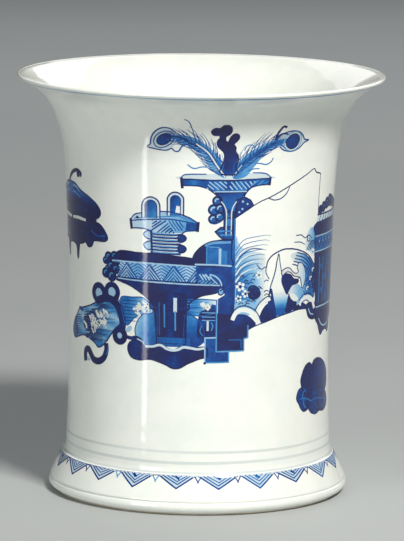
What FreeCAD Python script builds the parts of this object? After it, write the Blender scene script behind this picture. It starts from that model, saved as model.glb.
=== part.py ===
import FreeCAD, Part
import math
import os
from FreeCAD import Vector

# Porcelain brush pot: a waisted cylinder with an everted lip and a stepped, splayed foot.
# It is one fired piece, built up from the sections the potter joins and the glaze coats
# laid over them. Millimetres, +Z up, the axis on Z and the foot standing on Z = 0.

# ---- Driving dimensions -------------------------------------------------------------

TOTAL_HEIGHT = 150.0
RIM_RADIUS = 65.75
LIP_THICKNESS = 1.2             # diameter of the rounded edge of the lip
LIP_RISE = 30.0                 # degrees above level at which the mouth runs into the lip
GLAZE = 0.35                    # thickness of a fired glaze coat

# Outside of the wall over its glaze, as (height, radius): straight at the foot,
# slightly waisted below the middle, sweeping out to the underside of the lip.
WALL_BASE = (15.6, 47.75)
WALL_STATIONS = [
    WALL_BASE,
    (30.0, 47.2),
    (50.0, 46.8),
    (75.0, 47.05),
    (100.0, 47.75),
    (118.0, 48.75),
    (127.0, 49.9),
    (134.0, 51.75),
    (140.0, 54.6),
    (145.0, 59.0),
]

# Wall thickness over both glazes: full at the foot, thinning in the mouth.
WALL_THICKNESS = 5.2
THINNING_STARTS = 95.0
THINNING_POWER = 1.6            # above 1, most of the thinning is near the lip

# The foot: cove and step under the wall, splayed face, shallow incised line,
# rounded bead and a bevel turned under to the unglazed standing ring.
COVE_MIDDLE = (14.45, 48.05)
STEP_TOP = (13.95, 48.75)
STEP_ROUND = (13.65, 49.15)
STEP_EDGE = (13.1, 49.45)
FACE_MIDDLE = (9.2, 51.3)
FACE_FOOT = (4.95, 53.25)
INCISED_DEPTH = 0.28
INCISED_WIDTH = 0.9
BEAD_MIDDLE = (2.9, 53.78)
BEVEL_MIDDLE = (1.7, 53.35)
GLAZE_LINE = (0.8, 52.3)
STANDING_OUTER_RADIUS = 51.2
STANDING_INNER_RADIUS = 40.9
STANDING_CHAMFER = 0.9

# The recess under the base, the base slab above it and the floor of the well.
RECESS_RADIUS = 40.0            # bore of the foot, before its glaze
RECESS_DEPTH = 5.35
RECESS_FILLET = 2.0
RECESS_GLAZE_LINE = 1.3
SLAB_THICKNESS = 6.3
FLOOR_HEIGHT = RECESS_DEPTH + SLAB_THICKNESS + GLAZE
COIL_WIDTH = 4.2                # clay coil pressed into the corner of the floor
COIL_HEIGHT = 4.6

# Where the thrown sections are joined.
FOOT_SEAM = WALL_BASE[0]
MOUTH_SEAM = 122.0

SECTION_LIMIT = 200.0           # larger than anything in the section


# ---- Section geometry: points are (radius, height) in the XZ plane -------------------

def section_point(radius, height):
    """A point of the half section."""
    return Vector(radius, 0, height)


def station_point(station):
    """A (height, radius) station as a point of the half section."""
    return section_point(station[1], station[0])


def as_curve(kind, points):
    """One stretch of outline as a curve."""
    if kind == "line":
        return Part.LineSegment(points[0], points[1])
    if kind == "arc":
        return Part.Arc(points[0], points[1], points[2])
    spline = Part.BSplineCurve()
    spline.interpolate(points)
    return spline


def unit_tangents(kind, points):
    """Direction of travel at each point of a stretch of outline."""
    curve = as_curve(kind, points)
    found = []
    for point in points:
        tangent = Vector(*curve.tangent(curve.parameter(point))[0])
        found.append(tangent.normalize())
    return found


def sideways(point, tangent, distance):
    """The point moved to the left of the direction of travel."""
    left = Vector(-tangent.z, 0, tangent.x)
    return point + left * distance


def inset(outline, depth):
    """The outline moved to its left by an even depth, its stretches still joined."""
    moved = []
    for kind, points in outline:
        tangents = unit_tangents(kind, points)
        shifted = [sideways(p, t, depth) for p, t in zip(points, tangents)]
        if moved:
            joint = (moved[-1][1][-1] + shifted[0]) * 0.5
            moved[-1][1][-1] = joint
            shifted[0] = joint
        moved.append((kind, shifted))
    return moved


def edges_of(outline):
    """The edges of an outline."""
    return [as_curve(kind, points).toShape() for kind, points in outline]


def start_of(outline):
    return outline[0][1][0]


def end_of(outline):
    return outline[-1][1][-1]


def strip_between(outer, inner):
    """Face between an outline and its inset, closed at both ends."""
    edges = edges_of(outer) + edges_of(inner)
    edges.append(Part.LineSegment(start_of(outer), start_of(inner)).toShape())
    if (end_of(outer) - end_of(inner)).Length > 1e-6:
        edges.append(Part.LineSegment(end_of(outer), end_of(inner)).toShape())
    return Part.Face(Part.Wire(Part.__sortEdges__(edges)))


def rectangle(inner_radius, outer_radius, low, high):
    """A rectangular face of the half section."""
    corners = [
        section_point(inner_radius, low),
        section_point(outer_radius, low),
        section_point(outer_radius, high),
        section_point(inner_radius, high),
        section_point(inner_radius, low),
    ]
    return Part.Face(Part.makePolygon(corners))


def turned(face):
    """The section turned about the axis into a closed solid."""
    return face.revolve(Vector(0, 0, 0), Vector(0, 0, 1), 360)


# ---- Outlines ------------------------------------------------------------------------

def wall_depth(height):
    """Thickness of the wall at a height, from the full wall to the lip."""
    if height <= THINNING_STARTS:
        return WALL_THICKNESS
    part = (height - THINNING_STARTS) / (TOTAL_HEIGHT - THINNING_STARTS)
    return WALL_THICKNESS + (LIP_THICKNESS - WALL_THICKNESS) * part ** THINNING_POWER


def foot_outline():
    """Glazed foot, from the glaze line under the bevel up to the base of the wall."""
    face_foot = station_point(FACE_FOOT)
    groove_bottom = section_point(FACE_FOOT[1] + 0.12 - INCISED_DEPTH, FACE_FOOT[0] - INCISED_WIDTH / 2)
    bead_top = section_point(FACE_FOOT[1] + 0.28, FACE_FOOT[0] - INCISED_WIDTH)
    bevel = [station_point(s) for s in (GLAZE_LINE, BEVEL_MIDDLE, BEAD_MIDDLE)]
    shoulder = [station_point(s) for s in (STEP_EDGE, STEP_ROUND, STEP_TOP)]
    cove = [station_point(s) for s in (STEP_TOP, COVE_MIDDLE, WALL_BASE)]
    splay = [face_foot, station_point(FACE_MIDDLE), station_point(STEP_EDGE)]
    return [
        ("spline", bevel + [bead_top]),
        ("arc", [bead_top, groove_bottom, face_foot]),
        ("spline", splay),
        ("arc", shoulder),
        ("arc", cove),
    ]


def lip_points():
    """Rounded edge of the lip: its underside, its crown and its inner end."""
    radius = LIP_THICKNESS / 2
    centre = section_point(RIM_RADIUS - radius, TOTAL_HEIGHT - radius)
    rise = math.radians(LIP_RISE)
    along = Vector(math.cos(rise), 0, math.sin(rise))
    across = Vector(-along.z, 0, along.x)
    return [centre - across * radius, centre + along * radius, centre + across * radius]


def wall_outline():
    """Outside of the wall, from the foot to the underside of the lip."""
    stations = [station_point(s) for s in WALL_STATIONS]
    return [("spline", stations + lip_points()[:1])]


def well_points():
    """Inside of the wall, from the top of the corner coil up to the lip."""
    outside = wall_outline()[0][1]
    tangents = unit_tangents("spline", outside)
    inside = [sideways(p, t, wall_depth(p.z)) for p, t in zip(outside, tangents)]
    lowest = section_point(outside[0].x - WALL_THICKNESS, FLOOR_HEIGHT + COIL_HEIGHT)
    return [lowest] + inside[1:-1] + lip_points()[2:]


def well_outline(points):
    """Glazed inside, from the lip down the wall, round the coil and in to the axis."""
    coil_top = points[0]
    coil_foot = section_point(coil_top.x - COIL_WIDTH, FLOOR_HEIGHT)
    centre = section_point(coil_foot.x, coil_top.z)
    slant = math.sqrt(0.5)
    coil_middle = section_point(centre.x + COIL_WIDTH * slant, centre.z - COIL_HEIGHT * slant)
    return [
        ("spline", list(reversed(points))),
        ("arc", [coil_top, coil_middle, coil_foot]),
        ("line", [coil_foot, section_point(0, FLOOR_HEIGHT)]),
    ]


def outside_and_lip():
    """The glazed outside, split from the glazed inside at the inner end of the lip."""
    return foot_outline() + wall_outline() + [("arc", lip_points())]


# ---- The clay body and its sections ----------------------------------------------------

def clay_section():
    """Section of the whole clay body, without its glaze."""
    coats = inset(outside_and_lip() + well_outline(well_points()), GLAZE)
    glaze_line = station_point(GLAZE_LINE)
    standing_outer = section_point(STANDING_OUTER_RADIUS, 0)
    standing_inner = section_point(STANDING_INNER_RADIUS, 0)
    recess_foot = section_point(RECESS_RADIUS, STANDING_CHAMFER)
    recess_top = section_point(RECESS_RADIUS, RECESS_DEPTH)
    axis_low = section_point(0, RECESS_DEPTH)
    corners = [
        start_of(coats),
        glaze_line,
        standing_outer,
        standing_inner,
        recess_foot,
        recess_top,
        axis_low,
        end_of(coats),
    ]
    edges = edges_of(coats)
    edges += [Part.LineSegment(a, b).toShape() for a, b in zip(corners, corners[1:])]
    return Part.Face(Part.Wire(Part.__sortEdges__(edges)))


def coil_zone():
    """Corner of the floor that the pressed clay coil fills."""
    wall_face = well_points()[0].x + GLAZE
    low = RECESS_DEPTH + SLAB_THICKNESS
    return rectangle(0, wall_face, low, FLOOR_HEIGHT + COIL_HEIGHT)


def slab_zone():
    """Space of the base slab, let into the bore of the foot."""
    return rectangle(0, RECESS_RADIUS, 0, RECESS_DEPTH + SLAB_THICKNESS)


def band(low, high):
    """The part of a section between two heights."""
    return rectangle(0, SECTION_LIMIT, low, high)


def splayed_foot(clay):
    """Stepped foot with the unglazed ring the pot stands on."""
    return turned(clay.common(band(0, FOOT_SEAM)).cut(coil_zone()).cut(slab_zone()).Faces[0])


def barrel_wall(clay):
    """Thrown straight wall."""
    return turned(clay.common(band(FOOT_SEAM, MOUTH_SEAM)).cut(coil_zone()).Faces[0])


def flared_mouth(clay):
    """Thrown mouth, sweeping out to the thin lip."""
    return turned(clay.common(band(MOUTH_SEAM, SECTION_LIMIT)).Faces[0])


def base_slab(clay):
    """Clay disc that closes the bottom."""
    return turned(clay.common(slab_zone()).Faces[0])


def corner_coil(clay):
    """Clay coil pressed into the corner between the floor and the wall."""
    return turned(clay.common(coil_zone()).Faces[0])


# ---- The glaze coats ---------------------------------------------------------------------

def glaze_outside():
    """Glaze over the foot, the wall and the lip."""
    outline = outside_and_lip()
    whole = inset(outline + well_outline(well_points()), GLAZE)
    return turned(strip_between(outline, whole[:len(outline)]))


def glaze_inside():
    """Glaze over the inside of the mouth, the wall, the coil and the floor."""
    outside = outside_and_lip()
    inside = well_outline(well_points())
    whole = inset(outside + inside, GLAZE)
    return turned(strip_between(inside, whole[len(outside):]))


def glaze_base():
    """Glaze in the recess under the base."""
    ceiling = RECESS_DEPTH - GLAZE
    wall = RECESS_RADIUS - GLAZE
    slant = RECESS_FILLET * (1 - math.sqrt(0.5))
    fillet_points = [
        section_point(wall - RECESS_FILLET, ceiling),
        section_point(wall - slant, ceiling - slant),
        section_point(wall, ceiling - RECESS_FILLET),
    ]
    corners = [
        fillet_points[2],
        section_point(wall, RECESS_GLAZE_LINE),
        section_point(RECESS_RADIUS, RECESS_GLAZE_LINE),
        section_point(RECESS_RADIUS, RECESS_DEPTH),
        section_point(0, RECESS_DEPTH),
        section_point(0, ceiling),
        fillet_points[0],
    ]
    edges = [as_curve("arc", fillet_points).toShape()]
    edges += [Part.LineSegment(a, b).toShape() for a, b in zip(corners, corners[1:])]
    return turned(Part.Face(Part.Wire(Part.__sortEdges__(edges))))


# ---- Write one file per piece ----------------------------------------------------------------

def main():
    clay = clay_section()
    pieces = {
        "splayed_foot": splayed_foot(clay),
        "barrel_wall": barrel_wall(clay),
        "flared_mouth": flared_mouth(clay),
        "base_slab": base_slab(clay),
        "corner_coil": corner_coil(clay),
        "glaze_outside": glaze_outside(),
        "glaze_inside": glaze_inside(),
        "glaze_base": glaze_base(),
    }
    os.makedirs("parts", exist_ok=True)
    for name, shape in pieces.items():
        box = shape.optimalBoundingBox()
        print(name, shape.isValid(), len(shape.Solids), round(shape.Volume, 1),
              round(box.ZMin, 3), round(box.ZMax, 3), round(box.XMax, 3))
        shape.exportStep("parts/" + name + ".step")


main()
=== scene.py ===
import random
from math import atan2, ceil, cos, pi, radians, sin

import bpy
import numpy as np
from mathutils import Matrix, Vector
from mathutils.geometry import delaunay_2d_cdt


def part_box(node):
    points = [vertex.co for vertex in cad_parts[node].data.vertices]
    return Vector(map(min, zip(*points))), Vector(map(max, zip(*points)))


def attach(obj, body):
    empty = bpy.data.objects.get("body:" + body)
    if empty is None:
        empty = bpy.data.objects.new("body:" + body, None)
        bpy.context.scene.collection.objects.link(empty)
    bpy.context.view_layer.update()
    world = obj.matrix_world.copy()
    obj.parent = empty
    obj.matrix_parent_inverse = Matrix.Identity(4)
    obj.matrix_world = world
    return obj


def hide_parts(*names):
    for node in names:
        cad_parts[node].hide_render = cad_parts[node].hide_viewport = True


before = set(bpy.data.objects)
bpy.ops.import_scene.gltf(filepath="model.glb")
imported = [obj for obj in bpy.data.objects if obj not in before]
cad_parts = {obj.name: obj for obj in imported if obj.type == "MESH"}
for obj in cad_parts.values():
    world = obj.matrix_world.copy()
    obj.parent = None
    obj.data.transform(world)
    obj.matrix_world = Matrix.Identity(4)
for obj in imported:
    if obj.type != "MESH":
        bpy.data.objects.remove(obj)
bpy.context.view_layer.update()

# A blue-and-white porcelain brush pot. Shapes are worked out in millimetres, in the frame of
# the CAD model, and turned into metres where a mesh is made.

MM = 0.001


# ---- Sizes of the pot (mm), as in the CAD model --------------------------------------------------

RIM_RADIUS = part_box("glaze_outside")[1][0] / MM
TOTAL_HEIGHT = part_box("glaze_outside")[1][2] / MM
FLOOR_HEIGHT = 12.0
LIP_THICKNESS = 1.2
LIP_RISE = radians(30.0)        # slope of the lip's underside
LIP_STEPS = 15
GLAZE = 0.35                    # thickness of a coat
WALL_THICKNESS = 5.2
THINNING_STARTS = 95.0          # height above which the wall thins towards the lip
THINNING_POWER = 1.6
COIL_WIDTH = 4.2
COIL_HEIGHT = 4.6
COIL_BLEND = 2.0                # the wall's inner face runs into the coil over this height
COIL_STEPS = 12
FLOOR_STEPS = 25

# (radius, height) stations of the glazed outside, from the glaze line under the bevel upwards
BEVEL = [(52.3, 0.8), (53.35, 1.7), (53.78, 2.9), (53.53, 4.05)]
INCISED_LINE = [(53.53, 4.05), (53.05, 4.5), (53.25, 4.95)]
SPLAYED_FACE = [(53.25, 4.95), (51.3, 9.2), (49.45, 13.1)]
STEP = [(49.45, 13.1), (49.15, 13.65), (48.75, 13.95)]
COVE = [(48.75, 13.95), (48.05, 14.45), (47.75, 15.6)]
WALL = [(47.75, 15.6), (47.2, 30.0), (46.8, 50.0), (47.05, 75.0), (47.75, 100.0), (48.75, 118.0),
        (49.9, 127.0), (51.75, 134.0), (54.6, 140.0), (59.0, 145.0)]

WAIST_RADIUS = 47.2             # painted shapes measure their width round the pot at this radius
TURN = 2 * pi * WAIST_RADIUS
SEGMENTS = 288                  # of a turned mesh


# ---- Curves --------------------------------------------------------------------------------------

def clamp(value):
    """The value kept between 0 and 1."""
    return max(0.0, min(1.0, value))


def circle(x, y, radius, count):
    """Points evenly round a circle."""
    return [(x + radius * cos(a), y + radius * sin(a)) for a in np.arange(count) * 2 * pi / count]


def resample(points, step, closed=False):
    """The same line with its points evenly spaced, about a step apart."""
    line = np.array(points + points[:1] if closed else points, float)
    lengths = np.hypot(*np.diff(line, axis=0).T)
    travel = np.concatenate([[0.0], np.cumsum(lengths)])
    count = max(2, int(ceil(travel[-1] / step)) + 1)
    places = np.linspace(0.0, travel[-1], count)
    even = np.stack([np.interp(places, travel, line[:, i]) for i in (0, 1)], axis=1)
    return even[:-1] if closed else even


def smooth(points, step, closed=False):
    """A Catmull-Rom curve through the points, its own points about a step apart."""
    knots = np.array(points, float)
    if closed:
        knots = np.concatenate([knots[-1:], knots, knots[:2]])
    else:
        first = 2 * knots[0] - knots[1]
        last = 2 * knots[-1] - knots[-2]
        knots = np.concatenate([[first], knots, [last]])
    fine = []
    for a, b, c, d in zip(knots, knots[1:], knots[2:], knots[3:]):
        count = max(3, int(np.hypot(*(c - b)) / (0.5 * step)))
        for t in np.arange(count) / count:
            fine.append(0.5 * (2 * b + (c - a) * t + (2 * a - 5 * b + 4 * c - d) * t ** 2
                               + (3 * b - a - 3 * c + d) * t ** 3))
    if not closed:
        fine.append(knots[-2])
    return resample([tuple(p) for p in fine], step, closed)


def normals_of(line):
    """Unit normals to the left of the line."""
    ahead = np.gradient(line, axis=0)
    ahead /= np.maximum(np.hypot(ahead[:, 0], ahead[:, 1]), 1e-9)[:, None]
    return np.stack([-ahead[:, 1], ahead[:, 0]], axis=1)


# ---- Outlines of the turned form -----------------------------------------------------------------

def lip_arc():
    """Rounded edge of the lip, from its underside over the top to the inside."""
    radius = LIP_THICKNESS / 2
    centre = np.array([RIM_RADIUS - radius, TOTAL_HEIGHT - radius])
    angles = np.linspace(LIP_RISE - pi / 2, LIP_RISE + pi / 2, LIP_STEPS)
    return centre + radius * np.stack([np.cos(angles), np.sin(angles)], axis=1)


def wall_depth(height):
    """Thickness of the wall at a height."""
    part = np.clip((height - THINNING_STARTS) / (TOTAL_HEIGHT - THINNING_STARTS), 0, 1)
    return WALL_THICKNESS + (LIP_THICKNESS - WALL_THICKNESS) * part ** THINNING_POWER


def wall_line():
    """The wall's glazed outside, from the cove to the start of the lip."""
    return smooth(WALL + [tuple(lip_arc()[0])], 0.9)


def outer_outline():
    """Glazed outside, from the glaze line under the foot to the inner end of the lip."""
    joined = [smooth(BEVEL, 0.25)]
    for stations, step in ((INCISED_LINE, 0.15), (SPLAYED_FACE, 0.6), (STEP, 0.12), (COVE, 0.2)):
        joined.append(smooth(stations, step)[1:])
    return np.concatenate(joined + [wall_line()[1:], lip_arc()[1:]])


def inner_outline(outer):
    """Glazed inside, from the inner end of the lip down and in to the axis."""
    wall = wall_line()
    bore = wall + normals_of(wall) * wall_depth(wall[:, 1])[:, None]
    coil_top = (WALL[0][0] - WALL_THICKNESS, FLOOR_HEIGHT + COIL_HEIGHT)
    bore = bore[bore[:, 1] > coil_top[1] + COIL_BLEND]
    centre = np.array([coil_top[0] - COIL_WIDTH, coil_top[1]])
    angles = np.linspace(0, -pi / 2, COIL_STEPS)
    coil = centre + np.stack([COIL_WIDTH * np.cos(angles), COIL_HEIGHT * np.sin(angles)], axis=1)
    inwards = np.linspace(coil[-1, 0], 0.0, FLOOR_STEPS + 1)[1:]
    floor = np.stack([inwards, np.full(FLOOR_STEPS, FLOOR_HEIGHT)], axis=1)
    return np.concatenate([outer[-1:], bore[::-1][2:], coil, floor])


OUTER = outer_outline()
INNER = inner_outline(OUTER)
RISING = OUTER[:int(np.argmax(OUTER[:, 0]))]      # as far as the widest point, the rim


# ---- The surface, with the slight unevenness of throwing and firing ------------------------------

def unevenness(angle, height):
    """How far the fired surface stands off the true one (mm)."""
    sway = 0.07 * np.sin(2 * angle + 0.02 * height + 0.6) + 0.04 * np.sin(3 * angle - 0.03 * height)
    rings = 0.012 * np.sin(height / 2.3 + 0.8 * np.sin(angle)) + 0.008 * np.sin(height / 0.9 + angle)
    fade = np.clip((TOTAL_HEIGHT - 2.0 - height) / 12.0, 0, 1) * np.clip((height - 2.0) / 6.0, 0, 1)
    return (sway + rings) * fade


def on_surface(across, height, lift):
    """Points on the outside: across is mm round the pot from the front, lift is mm above it."""
    angle = np.asarray(across) / WAIST_RADIUS
    height = np.asarray(height)
    radius = np.interp(height, RISING[:, 1], RISING[:, 0]) + unevenness(angle, height) + lift
    return np.stack([radius * np.sin(angle), -radius * np.cos(angle), height], axis=-1) * MM


# ---- Meshes --------------------------------------------------------------------------------------

def mesh_object(name, points, faces):
    """A new object from points and faces."""
    mesh = bpy.data.meshes.new(name)
    mesh.from_pydata([tuple(p) for p in points], [], [tuple(f) for f in faces])
    mesh.validate()
    mesh.update()
    mesh.polygons.foreach_set("use_smooth", [True] * len(mesh.polygons))
    made = bpy.data.objects.new(name, mesh)
    bpy.context.scene.collection.objects.link(made)
    return made


def turned_solid(name, loop):
    """A closed outline turned about the axis; a point on the axis becomes a single vertex."""
    angles = np.arange(SEGMENTS) * 2 * pi / SEGMENTS
    points = []
    rings = []
    for radius, height in loop:
        if radius < 1e-6:
            rings.append([len(points)])
            points.append((0.0, 0.0, height * MM))
            continue
        uneven = radius + unevenness(angles, height)
        rings.append(list(range(len(points), len(points) + SEGMENTS)))
        points.extend(zip(uneven * np.sin(angles) * MM, -uneven * np.cos(angles) * MM,
                          [height * MM] * SEGMENTS))
    faces = []
    for low, high in zip(rings, rings[1:] + rings[:1]):
        for column in range(SEGMENTS):
            beside = (column + 1) % SEGMENTS
            corners = [low[column % len(low)], low[beside % len(low)],
                       high[beside % len(high)], high[column % len(high)]]
            face = list(dict.fromkeys(corners))
            if len(face) > 2:
                faces.append(face)
    return mesh_object(name, points, faces)


def glaze_coat(name, outline):
    """A thin coat: the outline with its own thickness behind it."""
    backing = outline + normals_of(outline) * GLAZE
    if outline[-1, 0] < 1e-6:
        backing[-1] = (0.0, outline[-1, 1] - GLAZE)
    return turned_solid(name, np.concatenate([outline, backing[::-1]]))


# ---- Painting: thin films that lie on the glaze and share its surface ----------------------------

SINK = 0.05                     # mm that a film reaches below the surface
LEVEL = 0.008                   # mm between one layer of paint and the next
BASE_LIFT = 0.015
GRID = 1.3                      # mm between points inside a filled shape
CLEARANCE = 0.45                # mm that those points keep from its edge
CURVE_STEP = 0.6                # mm between points along a curved edge
SIDE_STEP = 0.9                 # along a straight edge
STROKE_STEP = 0.7               # along a brushed curve
LINE_STEP = 1.2                 # along a straight stroke
SPREAD = 1.25                   # how far a brushed line spreads as it soaks in
THINNEST = 0.06                 # mm that a stroke keeps where it tapers out

WATER, PALE, LIGHT, MID, DARK = 0.10, 0.22, 0.40, 0.60, 1.0      # strengths of ink


def inside(points, polygon):
    """Which points lie inside the polygon."""
    x, y = points[:, 0], points[:, 1]
    found = np.zeros(len(points), bool)
    for (ax, ay), (bx, by) in zip(polygon, np.roll(polygon, -1, axis=0)):
        crosses = (ay > y) != (by > y)
        reach = (bx - ax) * (y - ay) / (by - ay if by != ay else 1e-12) + ax
        found ^= crosses & (x < reach)
    return found


class Painting:
    """The painted shapes of one motif, drawn in mm: x round the pot, y up from the foot."""

    def __init__(self, name, seed, across=0.0, side=1.0):
        self.name = name
        self.across = across
        self.side = side                # -1 draws it mirrored
        self.hand = random.Random(seed)
        self.flat = []
        self.lifts = []
        self.inks = []
        self.faces = []

    def placed(self, line):
        """Drawn points moved to where the motif sits on the pot."""
        line = np.asarray(line, float)
        return np.stack([self.across + self.side * line[:, 0], line[:, 1]], axis=1)

    def add(self, flat, inks, faces, level):
        """Add a film: its upper skin, a sunk copy as its underside, and the sides between."""
        first = len(self.flat)
        count = len(flat)
        self.flat.extend(flat)
        self.flat.extend(flat)
        self.inks.extend(inks)
        self.inks.extend(inks)
        self.lifts.extend([BASE_LIFT + LEVEL * level] * count + [-SINK] * count)
        edges = {}
        for face in faces:
            self.faces.append([first + i for i in face])
            self.faces.append([first + count + i for i in reversed(face)])
            for a, b in zip(face, face[1:] + face[:1]):
                if (b, a) in edges:
                    del edges[(b, a)]
                else:
                    edges[(a, b)] = True
        for a, b in edges:
            self.faces.append([first + a, first + count + a, first + count + b, first + b])

    def ribbon(self, line, width, ink, level, closed):
        """A film of a given width along a line already placed."""
        loop = np.concatenate([line[-1:], line, line[:1]]) if closed else line
        normal = normals_of(loop)[1:-1] if closed else normals_of(loop)
        places = np.linspace(0.0, 1.0, len(line))
        widths = np.array([width(t) for t in places]) if callable(width) else np.full(len(line), width)
        offset = normal * (widths / 2)[:, None]
        count = len(line)
        faces = []
        for i in range(count if closed else count - 1):
            j = (i + 1) % count
            faces.append([count + i, count + j, j, i])
        self.add(np.concatenate([line + offset, line - offset]), [ink] * (2 * count), faces, level)

    def stroke(self, points, width, ink, level, closed=False, taper=0.0, wobble=0.05):
        """A brushed curve. A taper of 1 runs out to nothing at its end."""
        line = self.placed(smooth(points, STROKE_STEP, closed))
        shake = np.array([self.hand.gauss(0, wobble) for _ in range(2 * len(line) + 4)])
        line = line + np.convolve(shake, np.ones(5) / 5, "valid").reshape(-1, 2)

        def pressed(t):
            press = 0.85 + 0.15 * sin(pi * t)
            return max(THINNEST, width * SPREAD * press * (1.0 - taper * t ** 1.5))

        self.ribbon(line, width * SPREAD if closed else pressed, ink, level, closed)

    def lines(self, points, width, ink, level, closed=False):
        """Straight strokes from point to point."""
        ends = points + points[:1] if closed else points
        for a, b in zip(ends, ends[1:]):
            a, b = np.array(a, float), np.array(b, float)
            along = (b - a) / max(1e-6, np.hypot(*(b - a))) * width * 0.45
            run = resample([tuple(a - along), tuple(b + along)], LINE_STEP)
            self.ribbon(self.placed(run), width * SPREAD, ink, level, False)

    def fill(self, outline, ink, level, curved=True, edge=None, edge_width=0.38):
        """A filled wash, with an outline where edge gives its ink. Ink may depend on (x, y)."""
        if curved:
            border = smooth(outline, CURVE_STEP, True)
        else:
            sides = zip(outline, outline[1:] + outline[:1])
            border = np.concatenate([resample([a, b], SIDE_STEP)[:-1] for a, b in sides])
        low, high = border.min(axis=0), border.max(axis=0)
        xs = np.arange(low[0] + GRID / 2, high[0], GRID)
        ys = np.arange(low[1] + GRID / 2, high[1], GRID)
        grid = np.stack(np.meshgrid(xs, ys), axis=-1).reshape(-1, 2)
        grid = grid[inside(grid, border)]
        if len(grid):
            gaps = np.hypot(grid[:, None, 0] - border[None, :, 0], grid[:, None, 1] - border[None, :, 1])
            grid = grid[gaps.min(axis=1) > CLEARANCE]
        flat = np.concatenate([border, grid])
        count = len(border)
        ring = [(i, (i + 1) % count) for i in range(count)]
        found = delaunay_2d_cdt([Vector(p) for p in flat], ring, [], 0, 1e-5)
        flat = np.array([tuple(p) for p in found[0]])
        faces = [list(f) for f in found[2]]
        middles = np.array([flat[f].mean(axis=0) for f in faces])
        faces = [f for f, keep in zip(faces, inside(middles, border)) if keep]
        corners = [flat[f[:3]] for f in faces]
        faces = [f if np.cross(c[1] - c[0], c[2] - c[0]) * self.side > 0 else f[::-1]
                 for f, c in zip(faces, corners)]
        inks = [ink(x, y) for x, y in flat] if callable(ink) else [ink] * len(flat)
        self.add(self.placed(flat), inks, faces, level)
        if edge is not None:
            pen = self.stroke if curved else self.lines
            pen(outline, edge_width, edge, level + 3, closed=True)

    def dot(self, x, y, radius, ink, level):
        """A small round touch of the brush."""
        self.fill(circle(x, y, radius, 7), ink, level)

    def build(self):
        """One closed mesh of all the motif's films, shaded as the glaze that it lies on."""
        flat = np.array(self.flat)
        points = on_surface(flat[:, 0], flat[:, 1], np.array(self.lifts))
        piece = mesh_object(self.name, points, self.faces)
        ink = piece.data.attributes.new("cobalt", "FLOAT", "POINT")
        ink.data.foreach_set("value", np.array(self.inks, np.float32))
        slope = np.gradient(RISING[:, 0], RISING[:, 1])
        lean = np.interp(flat[:, 1], RISING[:, 1], slope)
        angle = flat[:, 0] / WAIST_RADIUS
        normals = np.stack([np.sin(angle), -np.cos(angle), -lean], axis=1)
        normals /= np.linalg.norm(normals, axis=1)[:, None]
        piece.data.normals_split_custom_set_from_vertices([tuple(n) for n in normals])
        piece.data.materials.append(COBALT)
        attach(piece, "root")


# ---- Materials -----------------------------------------------------------------------------------

def srgb(red, green, blue):
    """A linear colour from 0-255 display values."""
    linear = []
    for value in (red, green, blue):
        value /= 255.0
        linear.append(value / 12.92 if value <= 0.04045 else ((value + 0.055) / 1.055) ** 2.4)
    return (*linear, 1.0)


WHITE = srgb(255, 255, 255)
BLACK = srgb(0, 0, 0)


class Nodes:
    """A new material's node tree, with short calls to add and join nodes."""

    def __init__(self, name):
        self.material = bpy.data.materials.new(name)
        self.material.use_nodes = True
        self.tree = self.material.node_tree
        self.shader = self.tree.nodes["Principled BSDF"]

    def add(self, kind, **settings):
        node = self.tree.nodes.new(kind)
        for key, value in settings.items():
            setattr(node, key, value)
        return node

    def feed(self, target, source):
        """Give an input a fixed value or another node's output."""
        if isinstance(source, bpy.types.NodeSocket):
            self.tree.links.new(source, target)
        else:
            target.default_value = source

    def noise(self, scale, detail, roughness=0.5):
        """Noise in the pot's own space, in features per metre."""
        place = self.add("ShaderNodeTexCoord")
        node = self.add("ShaderNodeTexNoise")
        self.feed(node.inputs["Scale"], scale)
        self.feed(node.inputs["Detail"], detail)
        self.feed(node.inputs["Roughness"], roughness)
        self.feed(node.inputs["Vector"], place.outputs["Object"])
        return node.outputs["Fac"]

    def ramp(self, source, stops, interpolation="LINEAR"):
        """A colour ramp of (position, colour) stops."""
        node = self.add("ShaderNodeValToRGB")
        node.color_ramp.interpolation = interpolation
        elements = node.color_ramp.elements
        while len(elements) < len(stops):
            elements.new(0.5)
        for element, (position, colour) in zip(elements, stops):
            element.position = position
            element.color = colour
        self.feed(node.inputs["Fac"], source)
        return node.outputs["Color"]

    def mix(self, factor, first, second, blend="MIX"):
        """One colour blended with another."""
        node = self.add("ShaderNodeMix", data_type="RGBA", blend_type=blend)
        self.feed(node.inputs["Factor"], factor)
        self.feed(node.inputs[6], first)        # 6 and 7 are the node's colour inputs
        self.feed(node.inputs[7], second)
        return node.outputs[2]

    def maths(self, operation, first, second):
        """Arithmetic on a node's output."""
        node = self.add("ShaderNodeMath", operation=operation)
        self.feed(node.inputs[0], first)
        self.feed(node.inputs[1], second)
        return node.outputs[0]

    def bump(self, height, strength, distance):
        """Bump the shader's surface by a height field."""
        node = self.add("ShaderNodeBump")
        self.feed(node.inputs["Strength"], strength)
        self.feed(node.inputs["Distance"], distance)
        self.feed(node.inputs["Height"], height)
        self.feed(self.shader.inputs["Normal"], node.outputs["Normal"])


def porcelain_white(nodes):
    """The body seen through its glaze: a cool white, a little bluer where the glaze pools."""
    clouds = nodes.ramp(nodes.noise(18.0, 2.0), [(0.3, srgb(239, 242, 236)), (0.7, srgb(243, 244, 239))])
    pooled = nodes.ramp(nodes.noise(95.0, 4.0, 0.6), [(0.42, srgb(240, 245, 245)), (0.6, WHITE)])
    return nodes.mix(0.35, clouds, nodes.mix(1.0, clouds, pooled, "MULTIPLY"))


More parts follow.
